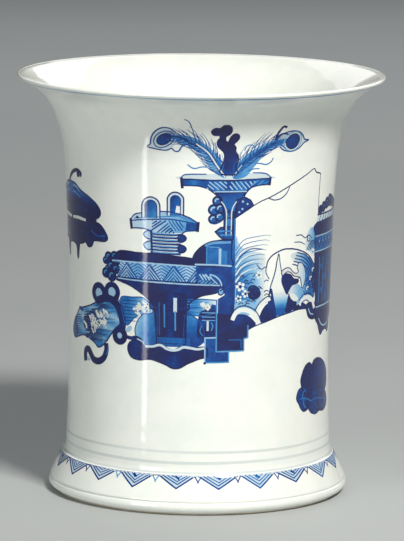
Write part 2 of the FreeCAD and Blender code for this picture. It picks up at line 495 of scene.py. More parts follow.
def glaze_surface(nodes):
    """Glassy finish with a faint orange-peel."""
    shader = nodes.shader.inputs
    nodes.feed(shader["IOR"], 1.5)
    nodes.feed(shader["Specular IOR Level"], 0.5)
    peel = nodes.noise(420.0, 2.0)
    roughness = nodes.ramp(nodes.noise(60.0, 3.0), [(0.3, srgb(70, 70, 70)), (0.7, srgb(92, 92, 92))])
    nodes.feed(shader["Roughness"], roughness)
    nodes.bump(peel, 0.05, 0.0004)


def glaze_material():
    """Clear glaze over white porcelain, with a few iron specks."""
    nodes = Nodes("porcelain_glaze")
    white = porcelain_white(nodes)
    place = nodes.add("ShaderNodeTexCoord")
    cells = nodes.add("ShaderNodeTexVoronoi")
    nodes.feed(cells.inputs["Scale"], 130.0)
    nodes.feed(cells.inputs["Vector"], place.outputs["Object"])
    speck = nodes.ramp(cells.outputs["Distance"], [(0.0, WHITE), (0.035, BLACK)])
    chosen = nodes.ramp(cells.outputs["Color"], [(0.93, BLACK), (0.95, WHITE)], "CONSTANT")
    shown = nodes.mix(1.0, speck, chosen, "MULTIPLY")
    nodes.feed(nodes.shader.inputs["Base Color"], nodes.mix(shown, white, srgb(120, 104, 84)))
    glaze_surface(nodes)
    return nodes.material


def cobalt_material():
    """Cobalt under the glaze: washes that pale to white and pool to near black."""
    nodes = Nodes("underglaze_cobalt")
    ink = nodes.add("ShaderNodeAttribute", attribute_name="cobalt").outputs["Fac"]
    cloudy = nodes.maths("MULTIPLY", nodes.maths("SUBTRACT", nodes.noise(210.0, 4.0, 0.65), 0.5), 0.55)
    grainy = nodes.maths("MULTIPLY", nodes.maths("SUBTRACT", nodes.noise(900.0, 2.0), 0.5), 0.22)
    uneven = nodes.maths("ADD", nodes.maths("MULTIPLY", nodes.maths("ADD", cloudy, grainy), ink), ink)
    wash = nodes.ramp(uneven, [
        (0.0, srgb(236, 240, 238)),
        # grey at the faintest inks, which also colours the painted groove shade of the two rings above the
        # foot
        (0.06, srgb(212, 218, 215)),
        (0.14, srgb(186, 208, 224)),
        (0.28, srgb(120, 174, 214)),
        (0.42, srgb(52, 130, 192)),
        (0.58, srgb(8, 90, 164)),
        (0.74, srgb(2, 54, 130)),
        (0.88, srgb(14, 34, 98)),
        (1.0, srgb(22, 26, 80)),
    ])
    nodes.feed(nodes.shader.inputs["Base Color"], wash)
    glaze_surface(nodes)
    return nodes.material


def biscuit_material():
    """Unglazed fired clay: matt, faintly gritty, warmed where the iron has oxidised."""
    nodes = Nodes("porcelain_biscuit")
    tone = nodes.ramp(nodes.noise(60.0, 5.0, 0.6), [(0.35, srgb(206, 192, 168)), (0.65, srgb(232, 224, 208))])
    grit = nodes.ramp(nodes.noise(1500.0, 3.0), [(0.3, srgb(190, 180, 160)), (0.42, WHITE)])
    gritty = nodes.mix(0.6, tone, nodes.mix(1.0, tone, grit, "MULTIPLY"))
    nodes.feed(nodes.shader.inputs["Base Color"], gritty)
    nodes.feed(nodes.shader.inputs["Roughness"], 0.85)
    nodes.bump(nodes.noise(2200.0, 3.0), 0.25, 0.0003)
    return nodes.material


def floor_material():
    """Plain pale studio paper."""
    nodes = Nodes("studio_paper")
    tone = nodes.ramp(nodes.noise(3.0, 2.0), [(0.3, srgb(174, 178, 179)), (0.7, srgb(180, 183, 183))])
    nodes.feed(nodes.shader.inputs["Base Color"], tone)
    nodes.feed(nodes.shader.inputs["Roughness"], 0.7)
    return nodes.material


GLAZED = glaze_material()
COBALT = cobalt_material()
BISCUIT = biscuit_material()


# ---- The pot -------------------------------------------------------------------------------------

def glaze_the_pot():
    """The two glaze coats, and finishes for the CAD pieces that stay."""
    coats = {"outer_glaze": (OUTER, "glaze_outside"), "inner_glaze": (INNER, "glaze_inside")}
    for name, (outline, node) in coats.items():
        coat = glaze_coat(name, outline)
        coat.data.materials.append(GLAZED)
        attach(coat, "root")
        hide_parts(node)
    for name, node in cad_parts.items():
        finish = GLAZED if name.startswith("glaze") else BISCUIT
        for slot in node.material_slots:
            slot.material = finish


# ---- Painted lines round the pot -----------------------------------------------------------------

CHEVRONS = 21
CHEVRON_PITCH = TURN / CHEVRONS
CHEVRON_START = 7.1             # where one chevron's tip stands, mm round from the front
CHEVRON_TIP = 9.35              # height of a tip
CHEVRON_HALF = 6.3              # half its width at the top
# each chevron and those nested in it: how much higher the tip is, part of the width, width of line
NESTS = ((0.0, 1.0, 0.40), (1.15, 0.76, 0.30), (2.2, 0.52, 0.27), (3.2, 0.27, 0.25))
STEP_LINE = 13.5                # height of the line along the step, which the chevrons hang from


def ring(painting, height, width, ink, sway=0.08):
    """A brushed line all the way round. Its width and ink may vary with the place, 0 to 1."""
    count = SEGMENTS
    places = np.arange(count) / count
    turns = 2 * pi * places
    middle = height + sway * np.sin(3 * turns + height) + 0.5 * sway * np.sin(7 * turns)
    upper = np.stack([TURN * places, middle + width / 2], axis=1)
    lower = np.stack([TURN * places, middle - width / 2], axis=1)
    inks = [ink(t) for t in places]
    faces = [[count + i, count + (i + 1) % count, (i + 1) % count, i] for i in range(count)]
    painting.add(np.concatenate([upper, lower]), inks + inks, faces, 1)


def paint_rings():
    """Lip line, two grey rings of painted groove shade above the foot, and the line along its step."""
    lines = Painting("ring_lines_and_groove_shade", 1)
    ring(lines, TOTAL_HEIGHT - 1.75, 0.4, lambda t: 0.30 + 0.10 * sin(6 * pi * t), 0.04)
    # painted shade: these two faint grey rings stand for the shade inside two turned grooves on the wall
    ring(lines, 21.6, 0.9, lambda t: 0.05 + 0.012 * sin(8 * pi * t))
    ring(lines, 17.9, 1.0, lambda t: 0.055 + 0.012 * sin(6 * pi * t + 2))
    ring(lines, STEP_LINE, 0.42, lambda t: 0.80 + 0.12 * sin(2 * pi * t + 4.0), 0.03)
    ring(lines, 14.3, 0.6, lambda t: 0.07, 0.03)
    lines.build()


def paint_border():
    """Nested chevrons hanging from the step of the foot, with a small drop between each two."""
    border = Painting("foot_border", 5)
    hand = random.Random(11)
    top = STEP_LINE
    for number in range(CHEVRONS):
        middle = CHEVRON_START + number * CHEVRON_PITCH
        tip = CHEVRON_TIP + hand.uniform(-0.35, 0.35)
        lean = hand.uniform(-0.5, 0.5)
        half = CHEVRON_HALF + hand.uniform(-0.3, 0.3)
        strength = 0.82 + 0.12 * sin(middle / WAIST_RADIUS - 2.0) + hand.uniform(-0.06, 0.06)
        border.fill([(middle - half, top), (middle + half, top), (middle + lean, tip)], 0.13, 1, False)
        for nest, (rise, spread, width) in enumerate(NESTS):
            left = (middle - half * spread + 0.3 * lean + hand.uniform(-0.25, 0.25), top)
            right = (middle + half * spread + 0.3 * lean + hand.uniform(-0.25, 0.25), top)
            point_x = middle + lean + hand.uniform(-0.25, 0.25)
            point_y = min(tip + rise, top - 0.5) + hand.uniform(-0.15, 0.15)
            border.lines([left, (point_x, point_y), right], width, strength - 0.06 * nest, 4)
        if hand.random() < 0.5:
            tick = [(middle + lean - 0.5, top - 0.2), (middle + lean + 0.5, top - 1.0)]
            border.lines(tick, 0.5, strength, 5)
        drop = middle + CHEVRON_PITCH / 2 + hand.uniform(-0.4, 0.4)
        faint = 0.5 if hand.random() < 0.2 else 1.0
        sides = [(drop - 1.1, top - 0.2), (drop - 0.1, top - 1.9), (drop + 0.9, top - 0.3)]
        border.lines(sides, 0.3, strength * faint, 4)
        border.dot(drop - 0.1, top - 2.1, 0.32, strength * faint, 5)
    border.build()


# ---- Peacock feathers and coral ------------------------------------------------------------------

BARB_BEND = 26.0                # degrees that a barb bends towards the tip


def barbs(painting, shaft, reach, ink, upper, lower, spacing=0.72):
    """Fine hairs that leave a shaft at upper and lower degrees, as long as reach(t, side) says."""
    line = smooth(shaft, spacing)
    ahead = np.gradient(line, axis=0)
    for number, (point, direction) in enumerate(zip(line, ahead)):
        t = number / (len(line) - 1)
        for side, spread in ((1, upper), (-1, lower)):
            heading = atan2(direction[1], direction[0])
            heading += side * radians(spread + painting.hand.uniform(-8, 8))
            length = reach(t, side) * painting.hand.uniform(0.8, 1.1)
            bend = side * radians(-BARB_BEND)
            middle = point + 0.5 * length * np.array([cos(heading), sin(heading)])
            end = middle + 0.5 * length * np.array([cos(heading + bend), sin(heading + bend)])
            strength = ink * painting.hand.uniform(0.75, 1.1)
            painting.stroke([tuple(point), tuple(middle), tuple(end)], 0.24, strength, 4, taper=0.75)


def feather_eye(painting, centre, radii, tilt, outline, halo, halo_ink):
    """The eye: a dark oval, a wider line round it, and a pointed outline that leaves the shaft."""
    def oval(scale):
        turn = radians(tilt)
        found = []
        for a in np.arange(14) * 2 * pi / 14:
            x, y = scale * radii[0] * cos(a), scale * radii[1] * sin(a)
            found.append((centre[0] + x * cos(turn) - y * sin(turn),
                          centre[1] + x * sin(turn) + y * cos(turn)))
        return found

    painting.fill(outline, WATER, 1)
    painting.stroke(outline[:-2], 0.4, 0.72, 5)
    painting.fill(oval(1), lambda x, y: 0.8 + 0.02 * (x - centre[0]), 4, edge=DARK, edge_width=0.3)
    painting.stroke(oval(halo), 0.34, halo_ink, 5, closed=True)


def paint_feathers(plume):
    """Two peacock feathers leaning out of the vase."""
    right = [(11, 119.5), (14, 123.6), (18.5, 127.2), (24.5, 130.6), (30, 131.6)]
    left = [(8.2, 119.5), (5.2, 124), (2.4, 128.2), (-1.5, 131.4), (-6, 133.2), (-9.5, 133.6)]
    plume.fill([
        (11, 119), (12.6, 124), (16, 127.8), (22, 131.2), (28, 132.8), (30.6, 131.4), (25, 129.4),
        (21.4, 126.6), (18.6, 123), (15.4, 119.4),
    ], lambda x, y: 0.36 - 0.012 * (x - 18), 1)
    plume.fill([
        (8.8, 119), (3.5, 121.9), (1, 126.2), (-3.6, 130.4), (-9, 132.8), (-8, 134.6), (-2.4, 133.6),
        (2.4, 130.4), (6.2, 126),
    ], lambda x, y: 0.22 + 0.012 * (y - 119), 1)
    plume.stroke(right, 1.5, 0.5, 2, wobble=0.02)
    plume.stroke(left, 1.3, 0.42, 2, wobble=0.02)

    def reach_right(t, side):
        return 1.5 + (7.0 if side > 0 else 5.6) * sin(pi * min(1, 0.14 + 0.82 * t)) ** 0.8

    def reach_left(t, side):
        return 1.5 + (6.6 if side < 0 else 7.4) * sin(pi * min(1, 0.16 + 0.8 * t)) ** 0.8

    barbs(plume, right[:-1] + [(27, 131.3)], reach_right, 0.72, 38, 34)
    barbs(plume, left, reach_left, 0.66, 40, 38)
    barbs(plume, right[:-1], lambda t, side: 2.4, 0.9, 24, 22, 0.9)
    barbs(plume, left[:-1], lambda t, side: 2.2, 0.85, 24, 22, 0.9)
    plume.stroke(left[:4], 0.42, 0.08, 6)
    plume.stroke(right[:2], 0.3, 0.2, 6)
    feather_eye(plume, (32.4, 131.1), (2.75, 2.7), 0, [
        (24.8, 131), (27.3, 133.9), (30.6, 134.9), (34, 134.5), (36.2, 133), (37.6, 131.4), (39.8, 131),
        (37.6, 130.2), (35.8, 128.5), (32.8, 127.5), (29.6, 128), (27.3, 129.4), (24.6, 130), (24.2, 130.5),
    ], 1.32, 0.3)
    plume.stroke([(30, 128.4), (28.3, 129.8), (26.3, 130.6)], 0.4, 0.55, 5)
    plume.stroke([(25.2, 132), (25.8, 134.6), (27.3, 136.9), (28.6, 136.4)], 0.7, 0.9, 5)
    plume.stroke([(25, 132.2), (27.6, 134.2), (30.4, 133.6)], 0.5, 0.85, 5)
    feather_eye(plume, (-11.9, 132.7), (2.7, 1.75), 35, [
        (-7.6, 135), (-9.4, 136.7), (-12.2, 136.9), (-14.8, 135.2), (-16.2, 132.8), (-16.6, 130.8),
        (-17.8, 129.7), (-14.8, 129.1), (-11.6, 128.7), (-9.4, 129.6), (-8.2, 131.4), (-7.2, 133),
    ], 1.45, 0.62)
    plume.stroke([(-9.4, 129.6), (-8.4, 128.5), (-7.1, 128.6), (-6.2, 130.2), (-4.6, 131)], 0.4, 0.65, 5)
    plume.stroke([(-9.6, 133.9), (-6.6, 133.6), (-3.6, 131.6), (-1, 130.4)], 0.45, 0.85, 5)
    plume.stroke([(-4.9, 140.3), (-3.6, 139.4), (-2.7, 136.8), (-2, 134.4)], 0.32, 0.6, 5, taper=0.5)
    plume.stroke([(-4.3, 123.9), (-3, 122.8), (-1.6, 122.5), (0.2, 123.1), (2, 123)], 0.34, 0.42, 5)
    plume.stroke([(18.4, 124), (20.6, 123.9), (22.8, 123.4), (24.6, 124.3), (25.3, 125.7)], 0.34, 0.5, 5)
    plume.stroke([(14.6, 128.6), (15, 130.2), (16.6, 130.8), (18.2, 130)], 0.3, 0.42, 5)
    plume.stroke([(16, 121.2), (18, 122), (20.4, 122.1)], 0.3, 0.5, 5)


def paint_coral(coral):
    """A dark knobbly branch of coral standing between the feathers."""
    outline = [
        (6.8, 120.6), (7, 123.4), (7.9, 125.6), (7.7, 128), (6.6, 129.4), (5.6, 130.4), (5.3, 132.2),
        (6.2, 133.6), (5.6, 134.5), (4.2, 134.5), (3.3, 135.8), (4.5, 137), (6, 136.9), (7.2, 138),
        (9, 137.9), (9.8, 136.4), (9.3, 134.9), (8, 134), (8, 132.5), (8.9, 131.9), (9.4, 133.3),
        (10.4, 134.7), (11.8, 134.8), (12.4, 133.5), (11.6, 132.1), (10.7, 131.1), (11.6, 130),
        (11.5, 128.5), (12.5, 127), (12.6, 124.8), (12, 122.8), (12.4, 120.4),
    ]
    coral.fill(outline, lambda x, y: 0.74 + 0.26 * clamp((y - 121) / 8), 4, edge=DARK)
    coral.stroke([(6.2, 127.6), (6.6, 125.6), (7.6, 124.4)], 0.4, MID, 5)
    coral.stroke([(5.3, 127.4), (5.6, 125.2), (6.6, 123.6)], 0.34, MID, 5)


# ---- Hatching ------------------------------------------------------------------------------------

def hatch(painting, corners, angle, spacing, width, ink, level):
    """Parallel strokes that fill a polygon."""
    shape = np.array(corners, float)
    heading = radians(angle)
    along = np.array([cos(heading), sin(heading)])
    across = np.array([-along[1], along[0]])
    offsets = shape @ across
    for place in np.arange(offsets.min() + spacing / 2, offsets.max(), spacing):
        crossings = []
        for a, b in zip(shape, np.roll(shape, -1, axis=0)):
            side_a, side_b = a @ across - place, b @ across - place
            if side_a * side_b < 0:
                crossings.append(tuple(a + (b - a) * side_a / (side_a - side_b)))
        crossings.sort(key=lambda p: np.dot(p, along))
        for start, end in zip(crossings[::2], crossings[1::2]):
            painting.stroke([start, end], width * painting.hand.uniform(0.8, 1.2), ink, level, wobble=0.04)


def lattice(painting, left, right, low, high, ink, level, pitch, ground):
    """A band of triangles on a wash, hatched one way and then the other."""
    painting.fill([(left, low), (right, low), (right, high), (left, high)], ground, 1, False)
    count = round((right - left) / pitch)
    step = (right - left) / count
    for number in range(count):
        x = left + number * step
        rising = number % 2 == 0
        first = [(x, low), (x + step, low), (x + step if rising else x, high)]
        second = [(x, high), (x + step, high), (x if rising else x + step, low)]
        hatch(painting, first, 50 if rising else 130, 0.85, 0.36, ink, level)
        hatch(painting, second, 150 if rising else 30, 0.95, 0.30, ink * 0.85, level)
        diagonal = [(x, low), (x + step, high)] if rising else [(x, high), (x + step, low)]
        painting.lines(diagonal, 0.34, ink, level + 1)


# ---- The vase, the censer and their stands -------------------------------------------------------

def scallops(painting, places, ink, level=3, highlight=PALE):
    """A cluster of small round lobes, each with a pale touch where highlight gives its ink."""
    for x, y, radius in places:
        painting.fill(circle(x, y, radius, 9), ink, level, edge=DARK, edge_width=0.45)
    if highlight is None:
        return
    for x, y, radius in places:
        arc = [(x + 0.5 * radius * cos(a), y + 0.5 * radius * sin(a)) for a in (1, 1.9, 2.8, 3.6)]
        painting.stroke(arc, 0.26 * radius, highlight, level + 4)


def paint_trumpet_vase(vase):
    """A beaker vase: wide mouth, thin neck with scrolled handles, domed body on a dark foot."""
    vase.fill([
        (-6.5, 118.6), (-5.9, 119.9), (-4, 120.4), (9, 120.7), (22, 120.4), (24.3, 119.4), (25, 118.2),
    ], WATER, 0)
    vase.stroke([(-6.6, 118.7), (-5.9, 119.9), (-4, 120.4), (2, 120.5)], 0.36, 0.6, 5)
    vase.stroke([(18, 120.7), (22, 120.4), (24.2, 119.4), (25, 118)], 0.36, 0.6, 5)
    vase.fill([
        (-6.6, 118.6), (9, 118), (25, 118.3), (24.8, 116.3), (21.5, 116.2), (18.6, 115.8), (16.2, 114.3),
        (4.6, 114.3), (2.4, 115.4), (-0.6, 116.3), (-5.4, 116.4), (-6.4, 115.8),
    ], lambda x, y: 0.62 + 0.10 * sin(0.8 * x), 3, False)
    vase.stroke([(-6.6, 118.7), (0, 118.5), (9, 118.2), (17, 118.3), (24.9, 118.4)], 0.45, 0.85, 6)
    vase.stroke([
        (-5.7, 116.4), (-0.6, 116.3), (2.6, 115.3), (5.2, 113.4), (7, 111.2), (8, 108.6),
    ], 0.4, 0.85, 6)
    vase.stroke([(24.6, 116.2), (21, 116.2), (18, 115.6), (16.2, 114), (15.2, 112.4)], 0.4, 0.85, 6)
    vase.lines([(-6.4, 118.9), (-6.1, 115.7)], 0.75, DARK, 6)
    vase.lines([(24.8, 118.6), (24.6, 116.2)], 0.7, DARK, 6)
    hatch(vase, [(2, 115.2), (9, 114.8), (9, 117.8), (3, 117.8)], 140, 1.1, 0.3, PALE, 7)
    hatch(vase, [(9.5, 114.9), (16.5, 114.9), (19.5, 117.6), (10.5, 117.8)], 130, 1.25, 0.36, PALE, 7)
    hatch(vase, [(17.5, 116), (24, 116.6), (24, 117.9), (18.5, 117.8)], 35, 1.3, 0.3, LIGHT, 7)
    vase.lines([(5.4, 114.3), (15.6, 114.2)], 0.35, PALE, 7)

    vase.fill([
        (5.2, 113.9), (15.6, 113.9), (14, 111.2), (12.4, 108.6), (11.8, 105), (8.2, 105), (7.8, 108.6),
        (6.8, 111.2),
    ], lambda x, y: 0.55 + 0.03 * (y - 108), 3, False, edge=DARK)
    vase.fill([(8.3, 107), (11.7, 107), (11.7, 97.2), (8.3, 97.2)], 0.52, 3, False, edge=0.85)
    for x, spread in ((9.1, -1.9), (10.9, 1.7)):
        vase.stroke([
            (x, 98.6), (x, 103), (x, 106.6), (x + 0.35 * spread, 109), (x + spread, 110.8),
        ], 0.34, 0.12, 7)
        vase.stroke([
            (x + 0.2 * spread, 99), (x + 0.2 * spread, 104), (x + 0.3 * spread, 107.4),
        ], 0.26, DARK, 8)
    vase.stroke([(9.4, 104.4), (10, 108.2), (10.6, 104.4)], 0.3, DARK, 8)

    scallops(vase, [
        (5.9, 111, 1.6), (4.7, 107.9, 1.8), (6.8, 108.4, 1.6), (4.5, 104.6, 1.5), (6.7, 105.4, 1.5),
    ], 0.62)
    vase.stroke([(3.6, 103.4), (5.2, 103), (7.4, 103.9)], 0.5, 0.7, 6)
    vase.fill([
        (12.6, 111.2), (15.4, 112.2), (17.6, 111), (18.7, 109.2), (15.6, 107.2), (12.2, 105), (12.6, 108),
    ], 0.8, 3, False, edge=DARK)
    for x, y in ((14.8, 110.6), (16.5, 109.7), (14.7, 108), (13.6, 106.9)):
        vase.dot(x, y, 0.42, PALE, 7)

    vase.fill([
        (5.3, 100.1), (7.2, 101.6), (11.6, 101.9), (11.6, 97.2), (8, 97.4), (6.6, 98.6),
    ], 0.66, 4, False, edge=DARK)
    vase.lines([(6.6, 100.3), (11.2, 100.3)], 0.4, LIGHT, 8)
    vase.lines([(7.2, 98.9), (11.2, 98.9)], 0.35, LIGHT, 8)
    vase.fill([
        (-2.4, 90.4), (-1.2, 93), (1.4, 95.4), (5, 96.8), (10.9, 97.1), (11.2, 95), (11.2, 90.6), (11, 88),
        (-1.6, 88.2),
    ], lambda x, y: 0.66 + (0.34 if x < 1.8 else 0), 3, True, edge=DARK)
    vase.fill([(2.9, 88.9), (6.6, 88.8), (6.6, 93.9), (2.9, 94.6)], 0.56, 5, False)
    vase.fill([(7.7, 88.6), (9.6, 88.5), (9.6, 93.2), (7.7, 93.5)], 0.5, 5, False)
    vase.stroke([(1.8, 95.2), (5, 96.2), (10.8, 96.3)], 0.7, 0.36, 6)
    vase.lines([(2.5, 88.8), (2.5, 94.8), (6.9, 94.5)], 0.35, LIGHT, 7)
    vase.lines([(7.1, 88.6), (7.1, 93.8)], 0.75, PALE, 7)
    vase.lines([(-1.4, 88.5), (5, 88.4), (11, 87.9)], 0.45, PALE, 7)
    vase.fill([(-1.4, 88), (11.5, 87.6), (11.5, 84.9), (-1, 85.4)], 0.74, 3, False)
    vase.fill([
        (-1, 85.4), (11.5, 84.9), (11.5, 72), (8.8, 72), (8.9, 78), (7.7, 80.6), (5, 82.4), (0.2, 83),
    ], lambda x, y: 0.62 + 0.02 * (x - 4), 3, False)
    hatch(vase, [(-0.6, 85), (3, 85.2), (5.4, 82.8), (0.6, 83)], 125, 0.9, 0.34, PALE, 7)
    vase.stroke([(3.6, 85), (5.6, 84.2), (7.3, 82.6), (7.9, 80.8)], 0.4, PALE, 7)
    vase.stroke([(1.2, 84.8), (4, 83.6), (6.4, 81.6)], 0.3, PALE, 7)
    vase.fill([
        (6.9, 79.8), (8, 80.2), (8.7, 79.2), (8.3, 77.9), (7.2, 77.7), (6.6, 78.7),
    ], 0.3, 6, edge=0.8)
    vase.fill([
        (6.6, 76.2), (9.6, 78), (11.6, 78), (11.6, 60), (6.6, 60),
    ], lambda x, y: 0.72 + 0.006 * (76 - y), 2, False)


TAB_THICKNESS = 1.15


def arched_tab(painting, left, right, low, high):
    """One arched loop handle of the censer's lid."""
    def arch(inset):
        a, b, top = left + inset, right - inset, high - inset
        radius = (b - a) / 2
        crown = [((a + b) / 2 + radius * cos(t), top - radius + radius * sin(t))
                 for t in np.linspace(0, pi, 9)]
        return [(b, low)] + crown + [(a, low)]

    def shade(x, y):
        return 0.66 + 0.03 * (y - low) - 0.05 * (x - left)

    painting.fill(arch(0), WATER, 3, False)
    painting.stroke(arch(0), 0.42, 0.8, 5)
    painting.stroke(arch(TAB_THICKNESS), 0.34, 0.75, 6)
    painting.fill(arch(TAB_THICKNESS + 0.1), shade, 4, False)


def paint_censer(pot):
    """A lidded boat-shaped censer on a tall dark pedestal."""
    arched_tab(pot, -20.5, -13.9, 104.4, 111.8)
    arched_tab(pot, -11.3, -5.6, 105.6, 113.9)
    pot.fill([(-8.5, 106.7), (-6.9, 106.5), (-6.9, 108.9), (-8.1, 109.1)], 0.04, 7, False)
    pot.fill([
        (-24.9, 103.3), (-23.6, 105.2), (-20.6, 106.1), (-14, 106.6), (-9, 106.6), (-4.6, 105.3),
        (-1.2, 103.4), (-0.4, 102.2), (-0.7, 100.5), (-5, 100.2), (-6, 99.5), (-17.4, 99.3), (-18.5, 100.2),
        (-24.6, 100.2),
    ], lambda x, y: 0.16 + 0.3 * max(0, (x + 17) / 17), 2, False)
    pot.stroke([(-24.9, 103.4), (-23.4, 105.2), (-20.6, 106)], 0.36, 0.75, 5)
    pot.stroke([(-13.8, 106.9), (-9, 106.7), (-4.6, 105.4), (-1.4, 103.6), (-0.4, 102.4)], 0.4, 0.8, 5)
    pot.stroke([(-24.6, 103), (-17, 103.9), (-10, 104.2), (-4.5, 103.5), (-0.6, 102.6)], 0.4, 0.7, 5)
    pot.stroke([(-23.5, 103.9), (-16, 104.7), (-8, 105.4), (-4.6, 104.5)], 0.3, 0.45, 5)
    pot.lines([(-24.9, 103.4), (-24.6, 100.3)], 0.75, DARK, 6)
    pot.stroke([(-24.5, 100.3), (-21.5, 100.5), (-18.2, 100.1), (-17.4, 99.2)], 0.4, 0.72, 5)
    pot.lines([(-0.6, 103.2), (-0.8, 100.4)], 0.85, DARK, 6)
    pot.stroke([(-1, 100.4), (-4.6, 100.2), (-6.2, 99.2)], 0.4, 0.8, 5)
    pot.fill([(-4.6, 103.3), (-1.2, 102.5), (-1.2, 100.7), (-5, 100.5)], 0.7, 3, False)
    hatch(pot, [(-17, 99.6), (-11, 103.7), (-16.6, 103.5)], 35, 0.85, 0.4, 0.66, 4)
    hatch(pot, [(-15.6, 99.4), (-8.6, 99.4), (-11.4, 103.4)], 40, 0.9, 0.4, 0.72, 4)
    hatch(pot, [(-9.6, 100), (-5.2, 100.4), (-6.6, 103.6), (-11, 103.8)], 125, 0.95, 0.36, 0.66, 4)
    pot.dot(-22.3, 104.3, 0.55, 0.9, 6)

    for number in range(7):
        height = 98.9 - 1.12 * number
        pot.fill([
            (-17.4, height + 0.5), (-6.6, height + 0.3), (-6.6, height - 0.6), (-17.4, height - 0.4),
        ], 0.72 if number % 2 else 0.5, 2, False)
        pot.stroke([(-17.4, height - 0.2), (-12, height - 0.35), (-6.5, height - 0.3)], 0.34, 0.85, 5)
        pot.stroke([(-16.6, height + 0.28), (-12, height + 0.16), (-8, height + 0.2)], 0.2, 0.26, 6)
    for y in (97.6, 93.8):
        pot.fill([
            (-7.2, y + 1.3), (-5.4, y + 1.1), (-4.6, y), (-5.5, y - 1.1), (-7.2, y - 1.2),
        ], 0.78, 4, edge=DARK)
        pot.fill([
            (-16.9, y + 2.2), (-18.9, y + 2), (-20, y + 0.9), (-19, y - 0.4), (-17.2, y - 0.6),
        ], 0.2, 1, edge=0.62, edge_width=0.4)
    pot.lines([(-17.2, 99.6), (-16.7, 91.4)], 0.5, 0.85, 6)

    rim = [
        (-34.4, 89.4), (-31.5, 90.8), (-28.6, 91.9), (-22, 91.7), (-15, 91.8), (-8, 91.2), (-2.4, 90.4),
        (-2.4, 88), (-14, 88.6), (-24, 88.5), (-32, 88),
    ]
    pot.fill(rim, lambda x, y: 1.0 - 0.10 * sin(0.24 * x), 3, edge=DARK)
    lattice(pot, -31, 0, 81.8, 87.9, 0.66, 4, 4.4, lambda x, y: 0.26 + 0.06 * sin(0.5 * x))
    pot.stroke([(-33, 88), (-22, 88.2), (-10, 88.1), (-1.2, 87.7)], 0.45, PALE, 7)
    pot.stroke([(-30.6, 81.9), (-20, 81.7), (-8, 81.5), (7.2, 81.1)], 0.4, PALE, 7)
    pot.stroke([(-31.2, 82.3), (-20, 82.2), (-8, 82), (-0.6, 81.9)], 0.5, 0.85, 6)
    pot.fill([(-1.6, 85.6), (3.4, 85.4), (6.6, 83.6), (8.2, 81.2), (-1.6, 81.6)], 0.36, 1, False)
    hatch(pot, [(-1.4, 85.4), (3.2, 85.2), (7.4, 81.6), (-1.2, 81.8)], 40, 0.9, 0.34, 0.78, 4)
    hull = [
        (-31, 81.7), (-25.5, 79.8), (-21, 77.4), (-17.8, 75), (-16.6, 72), (-4.4, 72), (-3.4, 74.6),
        (0.6, 77.2), (6.4, 78.6), (7.6, 81.1), (-10, 81.5),
    ]
    pot.fill(hull, lambda x, y: 0.9 + 0.08 * sin(0.35 * x + 1), 3, edge=DARK)
    scallops(pot, [
        (-34.8, 89, 1.7), (-36.3, 87.6, 1.2), (-32.2, 89.6, 1.5), (-33.8, 86, 1.6), (-36.2, 83.2, 1.7),
        (-33.4, 82.4, 1.9), (-31.6, 85, 1.6), (-31.2, 87.6, 1.3), (-35.4, 84.9, 1),
    ], 0.92, 3, 0.42)

    pot.fill([
        (-16.4, 78), (-4.4, 78), (-4.6, 60), (-15, 60),
    ], lambda x, y: 0.95 - 0.12 * cos(0.9 * (x + 10)), 3, False, edge=DARK)
    pot.lines([(-12.3, 73.8), (-12.2, 66)], 0.45, 0.45, 7)
    pot.lines([(-8.4, 76), (-8.4, 71.8)], 1, 0.12, 7)
    pot.lines([(-8.4, 71.5), (-8.3, 65)], 0.45, 0.4, 7)
    pot.lines([(-14.2, 74.6), (-14, 63)], 0.3, 0.62, 7)
    pot.fill([
        (-15.4, 72.6), (-19.4, 70.6), (-22.4, 67.4), (-23.4, 63.4), (-21.6, 60.4), (-15.6, 59.6),
    ], lambda x, y: 0.30 + 0.05 * (x + 20) + 0.012 * (72 - y), 1, edge=0.7, edge_width=0.3)
    pot.fill([
        (-4.8, 70.6), (-2, 70), (0.6, 67.8), (1.8, 64.4), (1, 60.2), (-4.8, 59.6),
    ], lambda x, y: 0.52 + 0.03 * (68 - y), 1, edge=0.7, edge_width=0.3)
    pot.fill([(-16, 62.2), (-3, 62.2), (-3, 59), (-16, 59)], 0.62, 4, False)


def paint_cloud_stand(stand):
    """A dark stand with a cloud-shaped edge and a reserved wavy line."""
    outline = [
        (-26.4, 57.4), (-25.4, 59.6), (-22.8, 60.4), (-20.4, 59.4), (-18.2, 58.6), (-14, 59.8),
        (-11.5, 58.6), (-8.8, 58), (-6, 59), (-2, 58.8), (2.6, 59), (3, 55.8), (0.4, 55), (-3.8, 53.2),
        (-6.8, 51.5), (-9.4, 51.4), (-12.4, 52.8), (-17.2, 54.1), (-21.6, 53.6), (-25, 54.4),
    ]
    stand.fill(outline, lambda x, y: 0.92 + 0.08 * sin(0.4 * x + 2), 4, edge=DARK, edge_width=0.45)
    stand.stroke([
        (-19.4, 58.6), (-16.6, 58.7), (-14.4, 59.4), (-13, 59.2), (-11.6, 58.3), (-9.4, 57.8), (-7.2, 58.1),
        (-5.4, 59), (-3.2, 58.8), (-0.4, 58.4), (2, 58.8),
    ], 0.75, 0.12, 8, wobble=0.02)
    stand.stroke([(-13.4, 59.7), (-11, 59.6), (-8, 59.5), (-5.6, 60)], 0.7, 0.62, 6)
    stand.stroke([(-22.6, 61), (-20.6, 60.2), (-19.6, 59)], 0.4, 0.2, 8)


